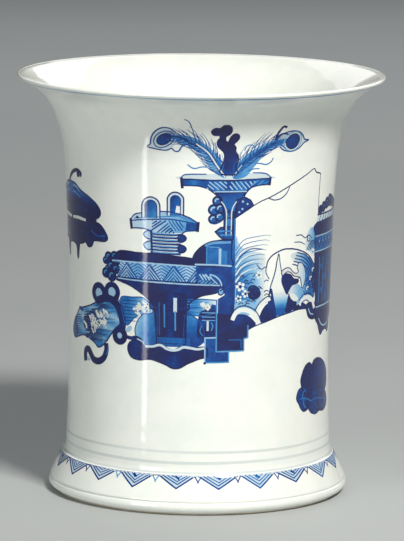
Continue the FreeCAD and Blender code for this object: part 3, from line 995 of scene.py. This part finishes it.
def paint_fret_stand(stand):
    """A dark stepped stand with a reserved key-fret line."""
    stand.fill([
        (0, 70.6), (2.4, 72.6), (6.2, 73.4), (6.2, 59.2), (3, 58.4), (2, 60.4), (-0.6, 62.6),
    ], lambda x, y: 0.86 + 0.12 * sin(y), 3, True)
    for y in (71.4, 69.9, 68.7):
        stand.lines([(1.2, y), (5.6, y - 0.1)], 0.26, 0.34, 7)
    stand.lines([(3.1, 68.2), (3.1, 65.2)], 0.6, 0.12, 7)
    stand.stroke([(4.3, 68), (4.9, 66.6), (4.4, 65)], 0.3, 0.4, 7)
    stand.stroke([(1, 66.8), (0.4, 64.8), (1.4, 63.2)], 0.3, 0.45, 7)
    stand.fill([
        (6.2, 71), (12, 70.6), (16.6, 68), (17.8, 66), (17.8, 62.2), (16, 61.8), (16, 57.7), (6.2, 57.7),
    ], lambda x, y: 0.97, 3, False)
    stand.fill([
        (2.2, 62.4), (6.1, 62.4), (6.1, 57.6), (10.5, 57.6), (10.5, 53.7), (2, 53.7),
    ], lambda x, y: 0.66 + 0.02 * (x - 4), 4, False)
    stand.lines([(6.2, 74.5), (6.2, 57.5), (16.2, 57.6), (16.2, 61.7)], 0.4, LIGHT, 7)
    stand.lines([(2.2, 53.5), (2.2, 62.4), (6, 62.5)], 0.36, PALE, 7)
    stand.lines([(2, 53.6), (10.7, 53.7), (10.7, 57.4)], 0.4, LIGHT, 7)
    stand.lines([(10.6, 61.6), (15.2, 61.5), (15.2, 58.6)], 0.3, MID, 7)
    stand.lines([(17.7, 66.4), (17.7, 62.2), (16.4, 61.9)], 0.42, LIGHT, 7)
    stand.dot(2.2, 53.4, 0.5, DARK, 8)


def paint_far_scroll(roll):
    """The end of a rolled scroll seen behind the censer."""
    roll.fill([
        (-4.4, 76), (1, 76.2), (6.2, 75.8), (6.2, 71.4), (2, 70.2), (-4.4, 70.4),
    ], lambda x, y: 0.34 - 0.05 * (x - 1), 1, False, edge=0.6, edge_width=0.32)
    for y, ink in ((75.2, 0.5), (74.2, 0.42), (73.1, 0.66), (72.2, 0.4), (71.4, 0.55)):
        roll.stroke([(-4.2, y + 0.1), (-0.5, y), (3.4, y - 0.2)], 0.3, ink, 3, taper=0.6)
    marbling(roll, (1.4, 73.6), (5.2, 74), 0.5, 8)


# ---- The rolled scroll and its ribbon ------------------------------------------------------------

def bow(painting, x, y, outer, inner):
    """A loop of ribbon: a dark ring round a pale hole."""
    middle = (outer + inner) / 2
    painting.fill(circle(x, y, inner * 1.2, 8), PALE, 4)
    painting.stroke(circle(x, y, middle, 10), outer - inner, 0.95, 6, closed=True)


def marbling(painting, start, end, spread, count):
    """Pale flecks with dark dots among them, scattered along a line."""
    for number in range(2 * count):
        t = painting.hand.random()
        x = start[0] + (end[0] - start[0]) * t
        y = start[1] + (end[1] - start[1]) * t + painting.hand.gauss(0, spread)
        if number < count:
            lean = radians(painting.hand.uniform(15, 75))
            reach = painting.hand.uniform(0.6, 1.3)
            dx, dy = reach * cos(lean), reach * sin(lean)
            fleck = [(x - dx, y + dy), (x + 0.15, y + 0.1), (x + dx, y - dy)]
            painting.stroke(fleck, painting.hand.uniform(0.5, 0.95), 0.05, 5)
        else:
            painting.dot(x, y, painting.hand.uniform(0.2, 0.38), 0.85, 6)


def paint_scroll(roll):
    """A rolled painting in marbled silk, and its far end beyond the ribbon."""
    near = [
        (-53.2, 67.9), (-49, 69.2), (-45, 70.4), (-41, 72.2), (-36, 73.6), (-31.6, 73), (-29, 69.6),
        (-29.6, 65.8), (-32.2, 63.4), (-34, 61.2), (-36.2, 58.6), (-38, 57), (-40.5, 55.9), (-43, 57.4),
        (-46.6, 58.6), (-50.4, 58.9), (-55, 57.6), (-58, 57), (-60, 59.4), (-58.6, 62.6), (-55.6, 65.6),
    ]
    roll.fill(near, lambda x, y: 0.28 + 0.018 * abs(y - 66) + (0.24 if x < -56 else 0)
              + 0.10 * sin(1.3 * y + 0.24 * x), 1, edge=0.95, edge_width=0.42)
    for number in range(34):
        t = number / 33
        y_left = 58.2 + 9.2 * t
        y_right = 58.0 + 15.0 * t
        start = -50.0 + 14.0 * abs(2 * t - 1) ** 2 * roll.hand.random()
        length = roll.hand.uniform(9, 20)
        path = [(x, y_left + (y_right - y_left) * (x + 57) / 26) for x in
                (start, start + 0.5 * length, min(start + length, -32.0 - 6 * (t < 0.3)))]
        path = [p for p in path if p[0] < -31]
        if len(path) > 1:
            roll.stroke(path, 0.3, roll.hand.uniform(0.8, 1), 4, taper=0.6)
    for number in range(9):
        t = number / 8
        roll.stroke([
            (-58.6 + 3.0 * t, 58.6 + 7.0 * t), (-55.0 + 3.0 * t, 58.8 + 7.2 * t), (-51.6, 59.6 + 7.4 * t),
        ], 0.36, 0.9, 4, taper=0.8)
    roll.fill([
        (-60, 59.5), (-59, 57.4), (-56.6, 57), (-55, 59), (-55.6, 62.6), (-57, 64.4), (-59, 62),
    ], 0.72, 3, edge=0.85)
    roll.stroke([(-53.6, 68), (-52.2, 68.3), (-50.4, 67.6)], 1, 0.8, 5)
    marbling(roll, (-49, 63.6), (-34.6, 67), 1.5, 38)

    far = [
        (-29.4, 75), (-24, 75.7), (-20.4, 75.8), (-18, 74.2), (-16.4, 72), (-17.2, 70.4), (-20.6, 70),
        (-23.6, 68.4), (-26.8, 65.4), (-28.4, 68.6),
    ]
    roll.fill(far, lambda x, y: 0.58 - 0.045 * max(0, x + 27), 1, edge=0.62, edge_width=0.32)
    for y in (67, 68.2, 69.4, 70.6, 71.8, 73, 74.2):
        roll.stroke([(-28.6, y), (-26, y + 0.1), (-22.0 + 0.2 * (y - 67), y + 0.2)], 0.3, 0.8, 3, taper=0.7)
    marbling(roll, (-23.6, 71.4), (-18.4, 73), 1, 14)


def paint_ribbon(tie):
    """The scroll's dark ribbon, which ends in loops and a curl."""
    tie.stroke([
        (-41.6, 72.3), (-38, 73.6), (-34, 73.8), (-31, 72), (-29.2, 69), (-28.6, 65.6), (-28.8, 63.6),
    ], 2.5, 0.93, 5, wobble=0.02)
    tie.stroke([(-37.6, 72.3), (-34.4, 72.4), (-32, 70.6), (-30.6, 67.6)], 0.3, 0.45, 7)
    tie.stroke([(-30.8, 74.6), (-28.6, 72), (-27.5, 68.4)], 0.4, 0.66, 7)
    bow(tie, -40, 75.4, 3.7, 2)
    bow(tie, -33.4, 76.6, 3.5, 1.9)
    bow(tie, -29.9, 61.4, 3.1, 1.3)
    tie.stroke([(-37.4, 76.4), (-36.6, 75.4), (-36, 76.2)], 0.9, 0.95, 6)
    tie.fill([(-27.2, 64), (-25.6, 65.4), (-24.6, 64.8), (-25.4, 63.4), (-26.8, 63)], 0.22, 6)
    tie.stroke([(-27.4, 61.4), (-25, 61), (-22.8, 61.4), (-20.6, 60.4)], 1.1, 0.9, 5, wobble=0.02)
    tie.stroke([
        (-36.4, 57.9), (-36.2, 55.4), (-37.6, 52.4), (-40.4, 50.9), (-43.2, 51.2), (-45, 53), (-46.4, 54.4),
        (-48.2, 53.8), (-48.6, 51.6), (-48.3, 49.9),
    ], 2, 0.95, 6, wobble=0.02)
    tie.stroke([(-35.6, 57), (-35.4, 55.6), (-36.2, 53.6)], 0.35, 0.5, 8)
    tie.stroke([(-47, 51.6), (-46.4, 50.6), (-45.6, 51)], 0.8, 0.22, 5)


# ---- The album leaf and its landscape ------------------------------------------------------------

def curl(painting, x, y, radius, turns, start, ink, width, level=5):
    """A spiral of foam or cloud, from its outer end inwards."""
    points = []
    for t in np.linspace(0, 1, 8 + int(8 * turns)):
        a = radians(start) + 2 * pi * turns * t
        r = radius * (1.0 - 0.85 * t)
        points.append((x + r * cos(a), y + r * sin(a)))
    painting.stroke(points, width, ink, level)


def paint_album_leaf(leaf):
    """An opened picture leaf standing behind the vase: its edges and a folded corner."""
    leaf.stroke([(11.8, 104.6), (15, 106.6), (18.5, 108.8)], 0.42, 0.72, 3)
    leaf.stroke([
        (18.5, 108.8), (21.4, 110.3), (24.2, 111.3), (28.4, 113), (33, 115), (37, 116.7), (41, 118.3),
        (45.4, 120.1), (46.2, 119),
    ], 0.34, 0.85, 3)
    leaf.stroke([(46, 119.4), (47.2, 118.4), (48.6, 118.2), (49.8, 117.7)], 0.4, 0.9, 3)
    leaf.lines([(49.9, 117.8), (50.2, 71.4)], 0.28, 0.85, 1)
    leaf.stroke([(24.4, 111.3), (27, 110.5), (29.6, 110.9), (31.8, 112.4), (33.2, 114.6)], 0.32, 0.85, 3)
    leaf.fill([
        (11.4, 104.8), (12.5, 105.3), (12.5, 62), (11.3, 62),
    ], lambda x, y: 0.7 + 0.012 * (84 - y), 3, False)
    leaf.lines([(12.9, 98), (12.9, 70)], 0.3, 0.3, 2)
    leaf.stroke([
        (16.2, 64), (20, 66), (25, 67.4), (30, 68.8), (36, 69.8), (43, 70.8), (50.2, 71.6),
    ], 0.42, 0.85, 1)


def flower(painting, x, y, size, petal, heart):
    """A small open flower of five petals."""
    for number in range(5):
        a = 2 * pi * number / 5 + 0.6
        painting.dot(x + size * cos(a), y + size * sin(a), 0.55 * size, petal, 6)
    painting.dot(x, y, 0.42 * size, heart, 7)


def paint_landscape(scene):
    """Waves of foliage, a waterfall and curling foam inside the leaf, in washes from dark to pale."""
    def left_wash(x, y):
        high = clamp((96.0 - y) / 14)
        near = clamp((24.0 - x) / 11)
        return 0.02 + 0.56 * (0.25 + 0.75 * high) * near ** 0.7

    scene.fill([
        (12.4, 96.6), (14.4, 94.8), (16.6, 93.4), (20, 92.6), (23.4, 91.6), (24.8, 88.6), (25.4, 84),
        (25.2, 78.6), (24, 74), (18, 73), (12.4, 74.6),
    ], left_wash, 1)
    for number in range(9):
        low = 80.0 + 1.65 * number
        far = 19.0 + 0.55 * number
        scene.stroke([
            (12.6, low), (14.4, low + 2.6), (16.8, low + 4.2), (far, low + 5), (far + 2.6, low + 4.7),
        ], 0.26, 0.8 - 0.035 * number, 4, taper=0.6)
    for number in range(4):
        low = 82.0 + 2.6 * number
        scene.stroke([
            (12.8, low), (14.8, low + 2.7), (17.6, low + 4.2), (20.6, low + 4.7),
        ], 0.5, 0.06, 5, taper=0.6)
    scene.stroke([(13.8, 90.8), (16.2, 92.6), (18.6, 93.7), (22.8, 93.3)], 0.3, 0.7, 6)
    scene.stroke([(20.6, 88), (22.4, 86.2), (24.3, 87), (24.3, 84.8), (25.8, 82.4)], 0.3, 0.75, 6)

    def right_wash(x, y):
        return 0.10 + 0.44 * clamp((x - 37) / 9)

    scene.fill([
        (35, 90), (38.4, 91), (42.4, 89.6), (46.4, 87.6), (49.4, 84), (49.4, 74), (45.4, 74.4), (41, 76),
        (41.4, 80), (42.8, 83), (41.6, 85.8), (39, 86.6),
    ], right_wash, 1)
    scene.stroke([
        (24.4, 86.6), (25.2, 89.2), (27.4, 91.2), (31.2, 92.5), (35, 92.5), (39.4, 91.5), (43.4, 89.9),
        (46.6, 87.6), (49, 84.4),
    ], 0.4, 0.85, 6)
    for number in range(5):
        inset = 1.1 * number
        scene.stroke([
            (38.2 - 0.5 * inset, 90.8 - 0.9 * inset), (42.6 - 0.6 * inset, 89.6 - 0.9 * inset),
            (46.4 - 0.75 * inset, 86.4 - 0.6 * inset), (48.8 - inset, 81.6), (48.6 - 1.1 * inset, 76.4),
        ], 0.36, 0.9 - 0.03 * number, 5)
    scene.stroke([(37.4, 97), (40.2, 96.9), (42.2, 95.6), (44.6, 96.4), (46.4, 95)], 0.3, 0.8, 5)
    scene.stroke([(36.6, 94.6), (39.6, 94.4), (42.4, 93.2)], 0.26, 0.75, 5)
    scene.fill([
        (42.6, 92.4), (43.2, 96.6), (46, 99), (49.4, 97), (49.4, 90), (45.4, 90.4),
    ], lambda x, y: 0.04 + 0.06 * (x - 42.6), 1)
    curl(scene, 44.8, 95, 1.5, 1, 90, 0.85, 0.34)
    for number in range(4):
        scene.stroke([
            (43.4 + number, 91), (44.6 + number, 92.8), (46.4 + 0.8 * number, 94.4),
        ], 0.34, 0.8, 5)
    flower(scene, 47.2, 90, 1, 0.05, 0.3)

    crest = [
        (31, 84.6), (32.8, 85.8), (34.8, 85.6), (36.4, 84.1), (38, 83.3), (39.2, 84), (38.4, 85.4),
        (39.3, 87), (40.9, 86.8), (42.3, 85.2), (43.2, 82.6), (42.8, 79.8), (41.5, 77.6), (40.8, 79.6),
        (40.2, 81.7), (38.6, 82.1), (37, 82.5), (35.4, 83.8), (33.4, 84.4), (31.4, 83.2),
    ]
    scene.fill(crest, lambda x, y: 0.06 + 0.16 * clamp((x - 40) / 3), 7, edge=0.85, edge_width=0.26)
    scene.fill([
        (34.8, 77.6), (36, 78.9), (39.4, 79.4), (41.4, 77.2), (42.6, 75.4), (41.6, 73.4), (39.6, 72.4),
        (34.6, 74),
    ], lambda x, y: 0.12 + 0.04 * (x - 36), 6)
    scene.fill([(35, 76.5), (36.8, 76.3), (38.8, 75), (39.3, 73.8), (37.4, 73.5), (35.5, 74.9)], 0.04, 10)
    for x, y, radius in ((46.4, 80.4, 1), (44.6, 77, 1), (47.8, 83.4, 0.9)):
        curl(scene, x, y, radius, 0.7, 40, 0.06, 0.45, 8)

    scene.fill([
        (29.5, 91.2), (28.9, 88.4), (28, 84), (26.6, 80.2), (25.7, 76), (27.2, 69.4), (35.4, 70.6),
        (35.2, 74.6), (33.4, 78), (31.9, 81), (30.5, 86),
    ], lambda x, y: 0.01 + 0.62 * clamp((78.0 - y) / 7) ** 1.4, 6)
    scene.fill([(25.8, 77.8), (26.9, 79), (27.9, 75), (29, 69.2), (26.2, 68.6), (25.4, 72.6)], 0.85, 7)
    scene.fill([(34.6, 76.2), (37, 75.4), (38.6, 73), (38.2, 71), (33.2, 69.8), (33.6, 73)], 0.97, 7)
    scene.stroke([(29.4, 91.2), (28.8, 88.4), (27.9, 84), (26.5, 80.2), (25.8, 77.6)], 0.34, 0.85, 10)
    scene.stroke([(29.6, 91.2), (30.6, 86), (32, 81), (33.6, 77.8), (34.6, 76)], 0.3, 0.8, 10)
    scene.fill([
        (31.2, 83), (33.2, 83.9), (35.6, 83.2), (36.9, 81.8), (39.4, 81.2), (39.2, 79.8), (36.2, 79.2),
        (34.8, 77.6), (33.6, 76.2), (32, 78.7), (31, 81),
    ], 0.93, 9)

    for x, y, size in ((14.6, 80.4, 1.15), (16.6, 77.8, 1), (21.6, 84.2, 0.95), (14, 76.2, 0.85)):
        flower(scene, x, y, size, 0.04, 0.9)
    scene.fill([
        (17.6, 79.6), (19.4, 80.6), (21.4, 79.4), (22.2, 77.2), (20.4, 75.8), (18, 76.4),
    ], 0.93, 5, edge=DARK)
    for number in range(30):
        x = scene.hand.uniform(13.2, 25)
        y = scene.hand.uniform(74.2, 84.6)
        scene.stroke([
            (x - 0.9, y - 0.4), (x, y + 0.3), (x + 0.9, y - 0.2),
        ], 0.3, scene.hand.uniform(0.7, 0.95), 5)
    for number in range(26):
        x = scene.hand.uniform(39, 49)
        y = scene.hand.uniform(75, 84)
        scene.stroke([
            (x - 0.8, y - 0.3), (x, y + 0.3), (x + 0.8, y - 0.3),
        ], 0.3, scene.hand.uniform(0.65, 0.95), 5)

    scene.fill([
        (12.4, 73.6), (14.4, 75.2), (17, 75.6), (19.8, 74.2), (21.6, 71.6), (17, 70), (12.4, 70.4),
    ], 0.26, 2)
    scene.fill([
        (12, 69.6), (14.4, 70.6), (17.2, 70.2), (19.6, 68.4), (20.6, 66.4), (16, 64.2), (12, 62.4),
    ], lambda x, y: 0.96 - 0.03 * (y - 65), 4)
    scene.stroke([
        (11.8, 68.6), (13.2, 71.2), (15.6, 72.2), (18.4, 71.4), (20.8, 69.2), (22, 66.8),
    ], 1.35, 0.03, 8)
    scene.stroke([(12.4, 72), (14.4, 73.4), (17.2, 73.4), (20.2, 71.8), (22.2, 69.2)], 0.32, 0.85, 9)
    scene.fill([
        (21.8, 67.4), (22.6, 70.6), (24.4, 73.2), (26.4, 73.8), (28.4, 71.6), (29.2, 68.8), (26, 67.6),
    ], lambda x, y: 0.98 - 0.04 * abs(x - 24), 4)
    scene.stroke([(20.8, 70.4), (22.4, 73.2), (24.4, 74.9), (26.4, 75.4)], 1.1, 0.03, 8)
    scene.stroke([(20.2, 71.6), (22.2, 74.4), (24.6, 76.1), (26.2, 76.6)], 0.3, 0.85, 9)
    scene.fill([(36.8, 70.4), (39, 72), (41.6, 72.6), (44.2, 71.4), (45, 69.8), (43, 70)], 0.95, 4)
    scene.stroke([(40.2, 71.8), (42, 73.6), (45, 74.2), (47.8, 72.8), (49.6, 69.6)], 1.15, 0.03, 8)
    scene.stroke([(39.8, 73.4), (42, 75.2), (45.4, 75.5), (48.6, 73.8)], 0.3, 0.85, 9)
    scene.stroke([(41, 72.2), (43.6, 73.2), (46, 72.2), (48, 69.4)], 0.3, 0.85, 9)


# ---- Motifs at the edges of the front view -------------------------------------------------------

def paint_jar(jar):
    """A dark lidded jar on a small stand."""
    jar.fill([
        (49.4, 100), (48.6, 95), (48.8, 88), (49.6, 80), (50.6, 70), (51.6, 65), (68.6, 65), (69.6, 70),
        (70.6, 80), (71.4, 88), (71.6, 95), (70.8, 100),
    ], lambda x, y: 0.94 + 0.06 * sin(0.5 * x), 2, True, edge=DARK)
    jar.fill([(49.2, 94.8), (71.2, 94.8), (71.2, 90.2), (49, 90.2)], 0.6, 4, False)
    for number in range(7):
        x = 50.5 + 3.1 * number
        jar.stroke([(x - 1.2, 91), (x, 94), (x + 1.2, 91)], 0.36, DARK, 6)
        jar.dot(x + 1.5, 93.2, 0.36, PALE, 7)
    jar.lines([(48.9, 95.3), (71.3, 95.3)], 0.34, PALE, 7)
    jar.lines([(49, 89.8), (71.2, 89.8)], 0.34, PALE, 7)
    jar.fill([(49.8, 102.9), (70.2, 102.9), (70.8, 100.2), (49.4, 100.2)], WATER, 3, False)
    jar.lines([(49.8, 103), (70.2, 103)], 0.45, 0.85, 6)
    jar.lines([(49.4, 100.2), (70.8, 100.2)], 0.45, 0.9, 6)
    for number in range(8):
        jar.stroke([(51.0 + 2.5 * number, 100.6), (52.2 + 2.5 * number, 102.6)], 0.34, 0.66, 6)
    scallops(jar, [
        (51.6, 104.6, 1.5), (54.2, 105.4, 1.7), (57.2, 106.4, 1.9), (60.2, 107, 2.1), (63.2, 106.4, 1.9),
        (66.2, 105.4, 1.7), (68.8, 104.6, 1.5),
    ], 0.9, 3, None)
    for x, y in ((54.4, 105.8), (57.4, 107), (60.4, 107.6), (63.4, 106.9)):
        jar.dot(x, y, 0.36, LIGHT, 8)
    for x in (52.6, 55.8, 59.2, 62.6, 66):
        jar.stroke([(x, 87.5), (x + 0.4, 80), (x + 0.2, 71)], 0.42, 0.5, 6)
    for x, y in ((54.2, 84), (57.6, 80), (61, 84.4), (64.4, 79.4), (54.8, 75.4), (58.6, 72.6), (62.4, 75)):
        jar.stroke([(x - 0.7, y - 1.1), (x, y + 1), (x + 0.8, y - 0.9)], 0.5, 0.56, 6)
    jar.lines([(50.8, 69.6), (69.4, 69.6)], 0.36, PALE, 7)
    jar.fill([
        (51, 65.2), (53.2, 67), (66.8, 67), (69, 65.2), (67, 63.4), (64.8, 59.2), (61.8, 60.4),
        (58.2, 60.4), (55.2, 59.2), (52.8, 63.2),
    ], lambda x, y: 0.95, 4, True, edge=DARK)
    jar.stroke([(53.4, 65.2), (56.4, 62.6), (59.9, 62), (63.4, 62.6), (66.6, 65.2)], 0.4, PALE, 8)
    jar.fill([
        (44.4, 71.4), (45, 68.2), (46.6, 66.4), (49.8, 66), (50.4, 70.6), (48, 71.8),
    ], lambda x, y: 0.92, 3, True, edge=DARK)
    jar.stroke([(45.6, 70), (46.8, 68), (49, 67.4)], 0.36, PALE, 8)
    jar.fill([(47.4, 79.8), (48.6, 76.4), (50.4, 76), (50.2, 82.6), (48.6, 83)], 0.85, 3, edge=DARK)


def paint_fruit(fruit):
    """A dark peach with its leaves."""
    body = [
        (41.8, 43.6), (42.6, 46.8), (44.6, 49.4), (47, 50.2), (48.8, 49.2), (50.4, 50.6), (53.6, 51),
        (58, 49.6), (62, 46.8), (64, 43.2), (63, 39.6), (58, 37.6), (50, 37.6), (44, 39.6),
    ]
    fruit.fill(body, lambda x, y: 0.97 - 0.012 * abs(x - 46), 5, edge=DARK)
    fruit.stroke([(50.6, 49.4), (50, 45), (50.8, 41)], 0.4, 0.82, 9)
    fruit.fill([
        (39.4, 38.4), (40.6, 41.2), (43.4, 41.8), (47.6, 40.4), (48.8, 37), (46.6, 34.2), (43.4, 33.2),
        (41.4, 34.8), (40.6, 36.2),
    ], lambda x, y: 0.78 + 0.03 * (x - 43), 6, edge=0.95)
    fruit.fill([
        (45.6, 37.6), (50.6, 40.2), (57.4, 39.8), (62.6, 37), (63.4, 33.4), (59.4, 31.4), (54.6, 31.8),
        (51, 31.2), (47, 33),
    ], lambda x, y: 0.84 + 0.06 * sin(0.6 * x), 7, edge=0.98)
    fruit.stroke([(41.4, 37.8), (44.2, 37.8), (47.8, 36.4)], 0.3, 0.5, 11)
    fruit.stroke([(47.4, 36.2), (52.4, 36.6), (58, 35.6), (62, 34.4)], 0.3, 0.56, 12)
    for x in (50, 53.4, 56.8):
        fruit.stroke([(x, 36.4), (x + 1.4, 38.4), (x + 2.8, 39)], 0.24, 0.6, 12)
        fruit.stroke([(x + 0.4, 36.2), (x + 1.8, 34), (x + 3.2, 33)], 0.24, 0.6, 12)
    fruit.stroke([(42.6, 37.9), (43, 39.8), (44.4, 40.8)], 0.28, 0.42, 11)
    fruit.stroke([(43.6, 37.8), (43.4, 35.6), (44.6, 34.2)], 0.28, 0.42, 11)
    fruit.stroke([(48.8, 49.2), (48.4, 46.6), (48.8, 44.4)], 0.5, DARK, 9)


def paint_peony(head):
    """A dark flower head hanging from a curled stem, the same on both sides of its middle."""
    middle = -58.8

    def mirrored(points):
        return [(2 * middle - x, y) for x, y in reversed(points)]

    half = [
        (-56.2, 113), (-53, 112.2), (-50.1, 110.8), (-44.4, 109.1), (-40.2, 106.8), (-38.4, 104.2),
        (-39.8, 102.2), (-43.2, 101.5), (-49.6, 101.6),
    ]
    head.fill(half + mirrored(half), lambda x, y: 1.0 - 0.40 * clamp((y - 105.5) / 4), 3, edge=DARK)
    lower = [
        (-49.6, 100), (-43, 100.4), (-39.4, 100.2), (-36.6, 98.1), (-35.1, 95.4), (-36.8, 94.2),
        (-40.6, 94), (-42.6, 93.6), (-43.5, 91.9), (-45.8, 91.2), (-47.8, 92.6), (-50.1, 91.8),
        (-52.2, 91.2), (-53.4, 86.4), (-54.4, 86.2), (-55.6, 90.8),
    ]
    head.fill(lower + mirrored(lower), lambda x, y: 0.97 - 0.10 * clamp((x + 43.6) / 6), 3, edge=DARK)
    head.fill([
        (middle - 14, 99.4), (middle + 14, 99.4), (middle + 15, 102.4), (middle - 15, 102.4),
    ], DARK, 4)
    veins = [
        ([(-56.6, 112), (-53.6, 111.6), (-51.2, 110.2)], 0.5, 0.3, 7),
        ([(-57, 110.8), (-54, 110.6), (-52, 109.6)], 0.4, 0.98, 7),
        ([(-57, 109.6), (-54.2, 109.6), (-50.6, 108.2)], 0.5, 0.42, 7),
        ([(-55.2, 104.4), (-49.6, 105), (-45.2, 103.6)], 0.5, 0.84, 7),
        ([(-44, 97.4), (-40.2, 95.7), (-36.6, 96.2)], 0.4, 0.6, 7),
        ([(-51.4, 96.6), (-47.2, 95.4), (-44.4, 94)], 0.5, 0.84, 7),
        ([(-58, 100.4), (-52.6, 100.7), (-47.2, 100.5)], 0.9, 0.05, 9),
    ]
    for side in (1, -1):
        for points, width, ink, level in veins:
            head.stroke([(middle + side * (x - middle), y) for x, y in points], width, ink, level)
    head.stroke([
        (-61.2, 112), (-59, 114.8), (-56, 116.8), (-52.2, 117.8), (-49.4, 117), (-50, 115.8),
    ], 1.1, 0.97, 6)
    head.dot(-51.6, 116.4, 1.2, 0.97, 6)


# ---- The whole painting --------------------------------------------------------------------------

# what draws each motif, and the seed of its hand
MOTIFS = {
    "album_leaf": (paint_album_leaf, 71),
    "landscape": (paint_landscape, 72),
    "coral_branch": (paint_coral, 8),
    "peacock_feathers": (paint_feathers, 21),
    "trumpet_vase": (paint_trumpet_vase, 31),
    "far_scroll": (paint_far_scroll, 53),
    "censer": (paint_censer, 41),
    "cloud_stand": (paint_cloud_stand, 51),
    "fret_stand": (paint_fret_stand, 52),
    "rolled_scroll": (paint_scroll, 61),
    "rolled_scroll_ribbon": (paint_ribbon, 62),
    "lidded_jar": (paint_jar, 81),
    "fruit_spray": (paint_fruit, 82),
    "peony_head": (paint_peony, 83),
}

# the pieces of the far side and their motifs
FAR_SIDE = {
    "coral_branch_back": "coral_branch",
    "peacock_feathers_back": "peacock_feathers",
    "trumpet_vase_back": "trumpet_vase",
    "far_scroll_back": "far_scroll",
    "censer_back": "censer",
    "cloud_stand_back": "cloud_stand",
    "fret_stand_back": "fret_stand",
    "rolled_scroll_back": "rolled_scroll",
    "rolled_scroll_back_ribbon": "rolled_scroll_ribbon",
    "album_leaf_back": "album_leaf",
    "landscape_back": "landscape",
}
SCROLL_SHIFT = -2.0             # mm that the scroll is moved round on the far side


def paint(name, motif, across=0.0, side=1.0):
    """One piece: a motif where it stands on the pot."""
    painter, seed = MOTIFS[motif]
    painting = Painting(name, seed, across, side)
    painter(painting)
    painting.build()


def paint_the_pot():
    """The front group as the viewer meets it, and most of it again, mirrored, on the far side."""
    paint_rings()
    paint_border()
    for motif in MOTIFS:
        paint(motif, motif)
    for name, motif in FAR_SIDE.items():
        shift = SCROLL_SHIFT if motif.startswith("rolled_scroll") else 0.0
        paint(name, motif, TURN / 2 + shift, -1.0)


# ---- Studio --------------------------------------------------------------------------------------

CAMERA_RISE = radians(9.1)
CAMERA_ROLL = radians(0.62)
CAMERA_DISTANCE = 1.599         # metres from the target
FOCAL_LENGTH = 296.0            # mm, on a sensor of the width below
SENSOR_WIDTH = 36.0
TARGET = Vector((0.0009, 0.0, 0.0788))
MIDDLE = (0, 0, 0.075)          # of the pot, where the lights aim
FLOOR_SIZE = 8.0                # metres
SKY_COLOUR = (0.80, 0.82, 0.84, 1.0)
SKY_STRENGTH = 0.09


def camera():
    """The front view: a long lens, a little above the rim."""
    data = bpy.data.cameras.new("camera")
    data.lens = FOCAL_LENGTH
    data.sensor_width = SENSOR_WIDTH
    data.clip_end = 20.0
    made = bpy.data.objects.new("camera", data)
    bpy.context.scene.collection.objects.link(made)
    away = Vector((0.0, -cos(CAMERA_RISE), sin(CAMERA_RISE)))
    made.location = TARGET + away * CAMERA_DISTANCE
    looking = away.to_track_quat("Z", "Y").to_matrix().to_4x4()
    made.matrix_world = Matrix.Translation(made.location) @ looking @ Matrix.Rotation(CAMERA_ROLL, 4, "Z")
    bpy.context.scene.camera = made


def area_light(name, azimuth, rise, distance, size, power, colour, aim=MIDDLE):
    """A soft box round the pot: azimuth from the camera's side, towards +X."""
    data = bpy.data.lights.new(name, "AREA")
    data.shape = "RECTANGLE"
    data.size, data.size_y = size
    data.energy = power
    data.color = colour
    made = bpy.data.objects.new(name, data)
    bpy.context.scene.collection.objects.link(made)
    azimuth, rise = radians(azimuth), radians(rise)
    direction = Vector((sin(azimuth) * cos(rise), -cos(azimuth) * cos(rise), sin(rise)))
    made.location = Vector(aim) + direction * distance
    made.rotation_euler = direction.to_track_quat("Z", "Y").to_euler()
    return made


def studio():
    """A pale floor and soft light, with the key high on the right."""
    bpy.ops.mesh.primitive_grid_add(x_subdivisions=8, y_subdivisions=8, size=FLOOR_SIZE)
    floor = bpy.context.object
    floor.name = "floor"
    floor.data.materials.append(floor_material())
    world = bpy.data.worlds.new("studio")
    world.use_nodes = True
    sky = world.node_tree.nodes["Background"]
    sky.inputs["Color"].default_value = SKY_COLOUR
    sky.inputs["Strength"].default_value = SKY_STRENGTH
    bpy.context.scene.world = world
    bpy.context.scene.view_settings.view_transform = "Standard"
    area_light("key", 29, 46, 1.3, (0.26, 0.22), 18.5, (1.0, 0.985, 0.93))
    area_light("fill", -40, 10, 1.6, (0.5, 0.7), 6.8, (0.97, 1.0, 0.98))
    strip = area_light("strip", -42.5, 0, 0.2, (0.013, 0.08), 0.019, (1.0, 0.95, 0.98), (0, 0, 0.045))
    strip.visible_diffuse = False       # it only glints in the glaze
    area_light("back_right", 155, 30, 1.9, (1.2, 1.0), 6.0, (0.98, 1.0, 1.0))
    area_light("back_left", -165, 30, 1.9, (1.2, 1.0), 4.5, (0.98, 1.0, 1.0))


glaze_the_pot()
paint_the_pot()
camera()
studio()
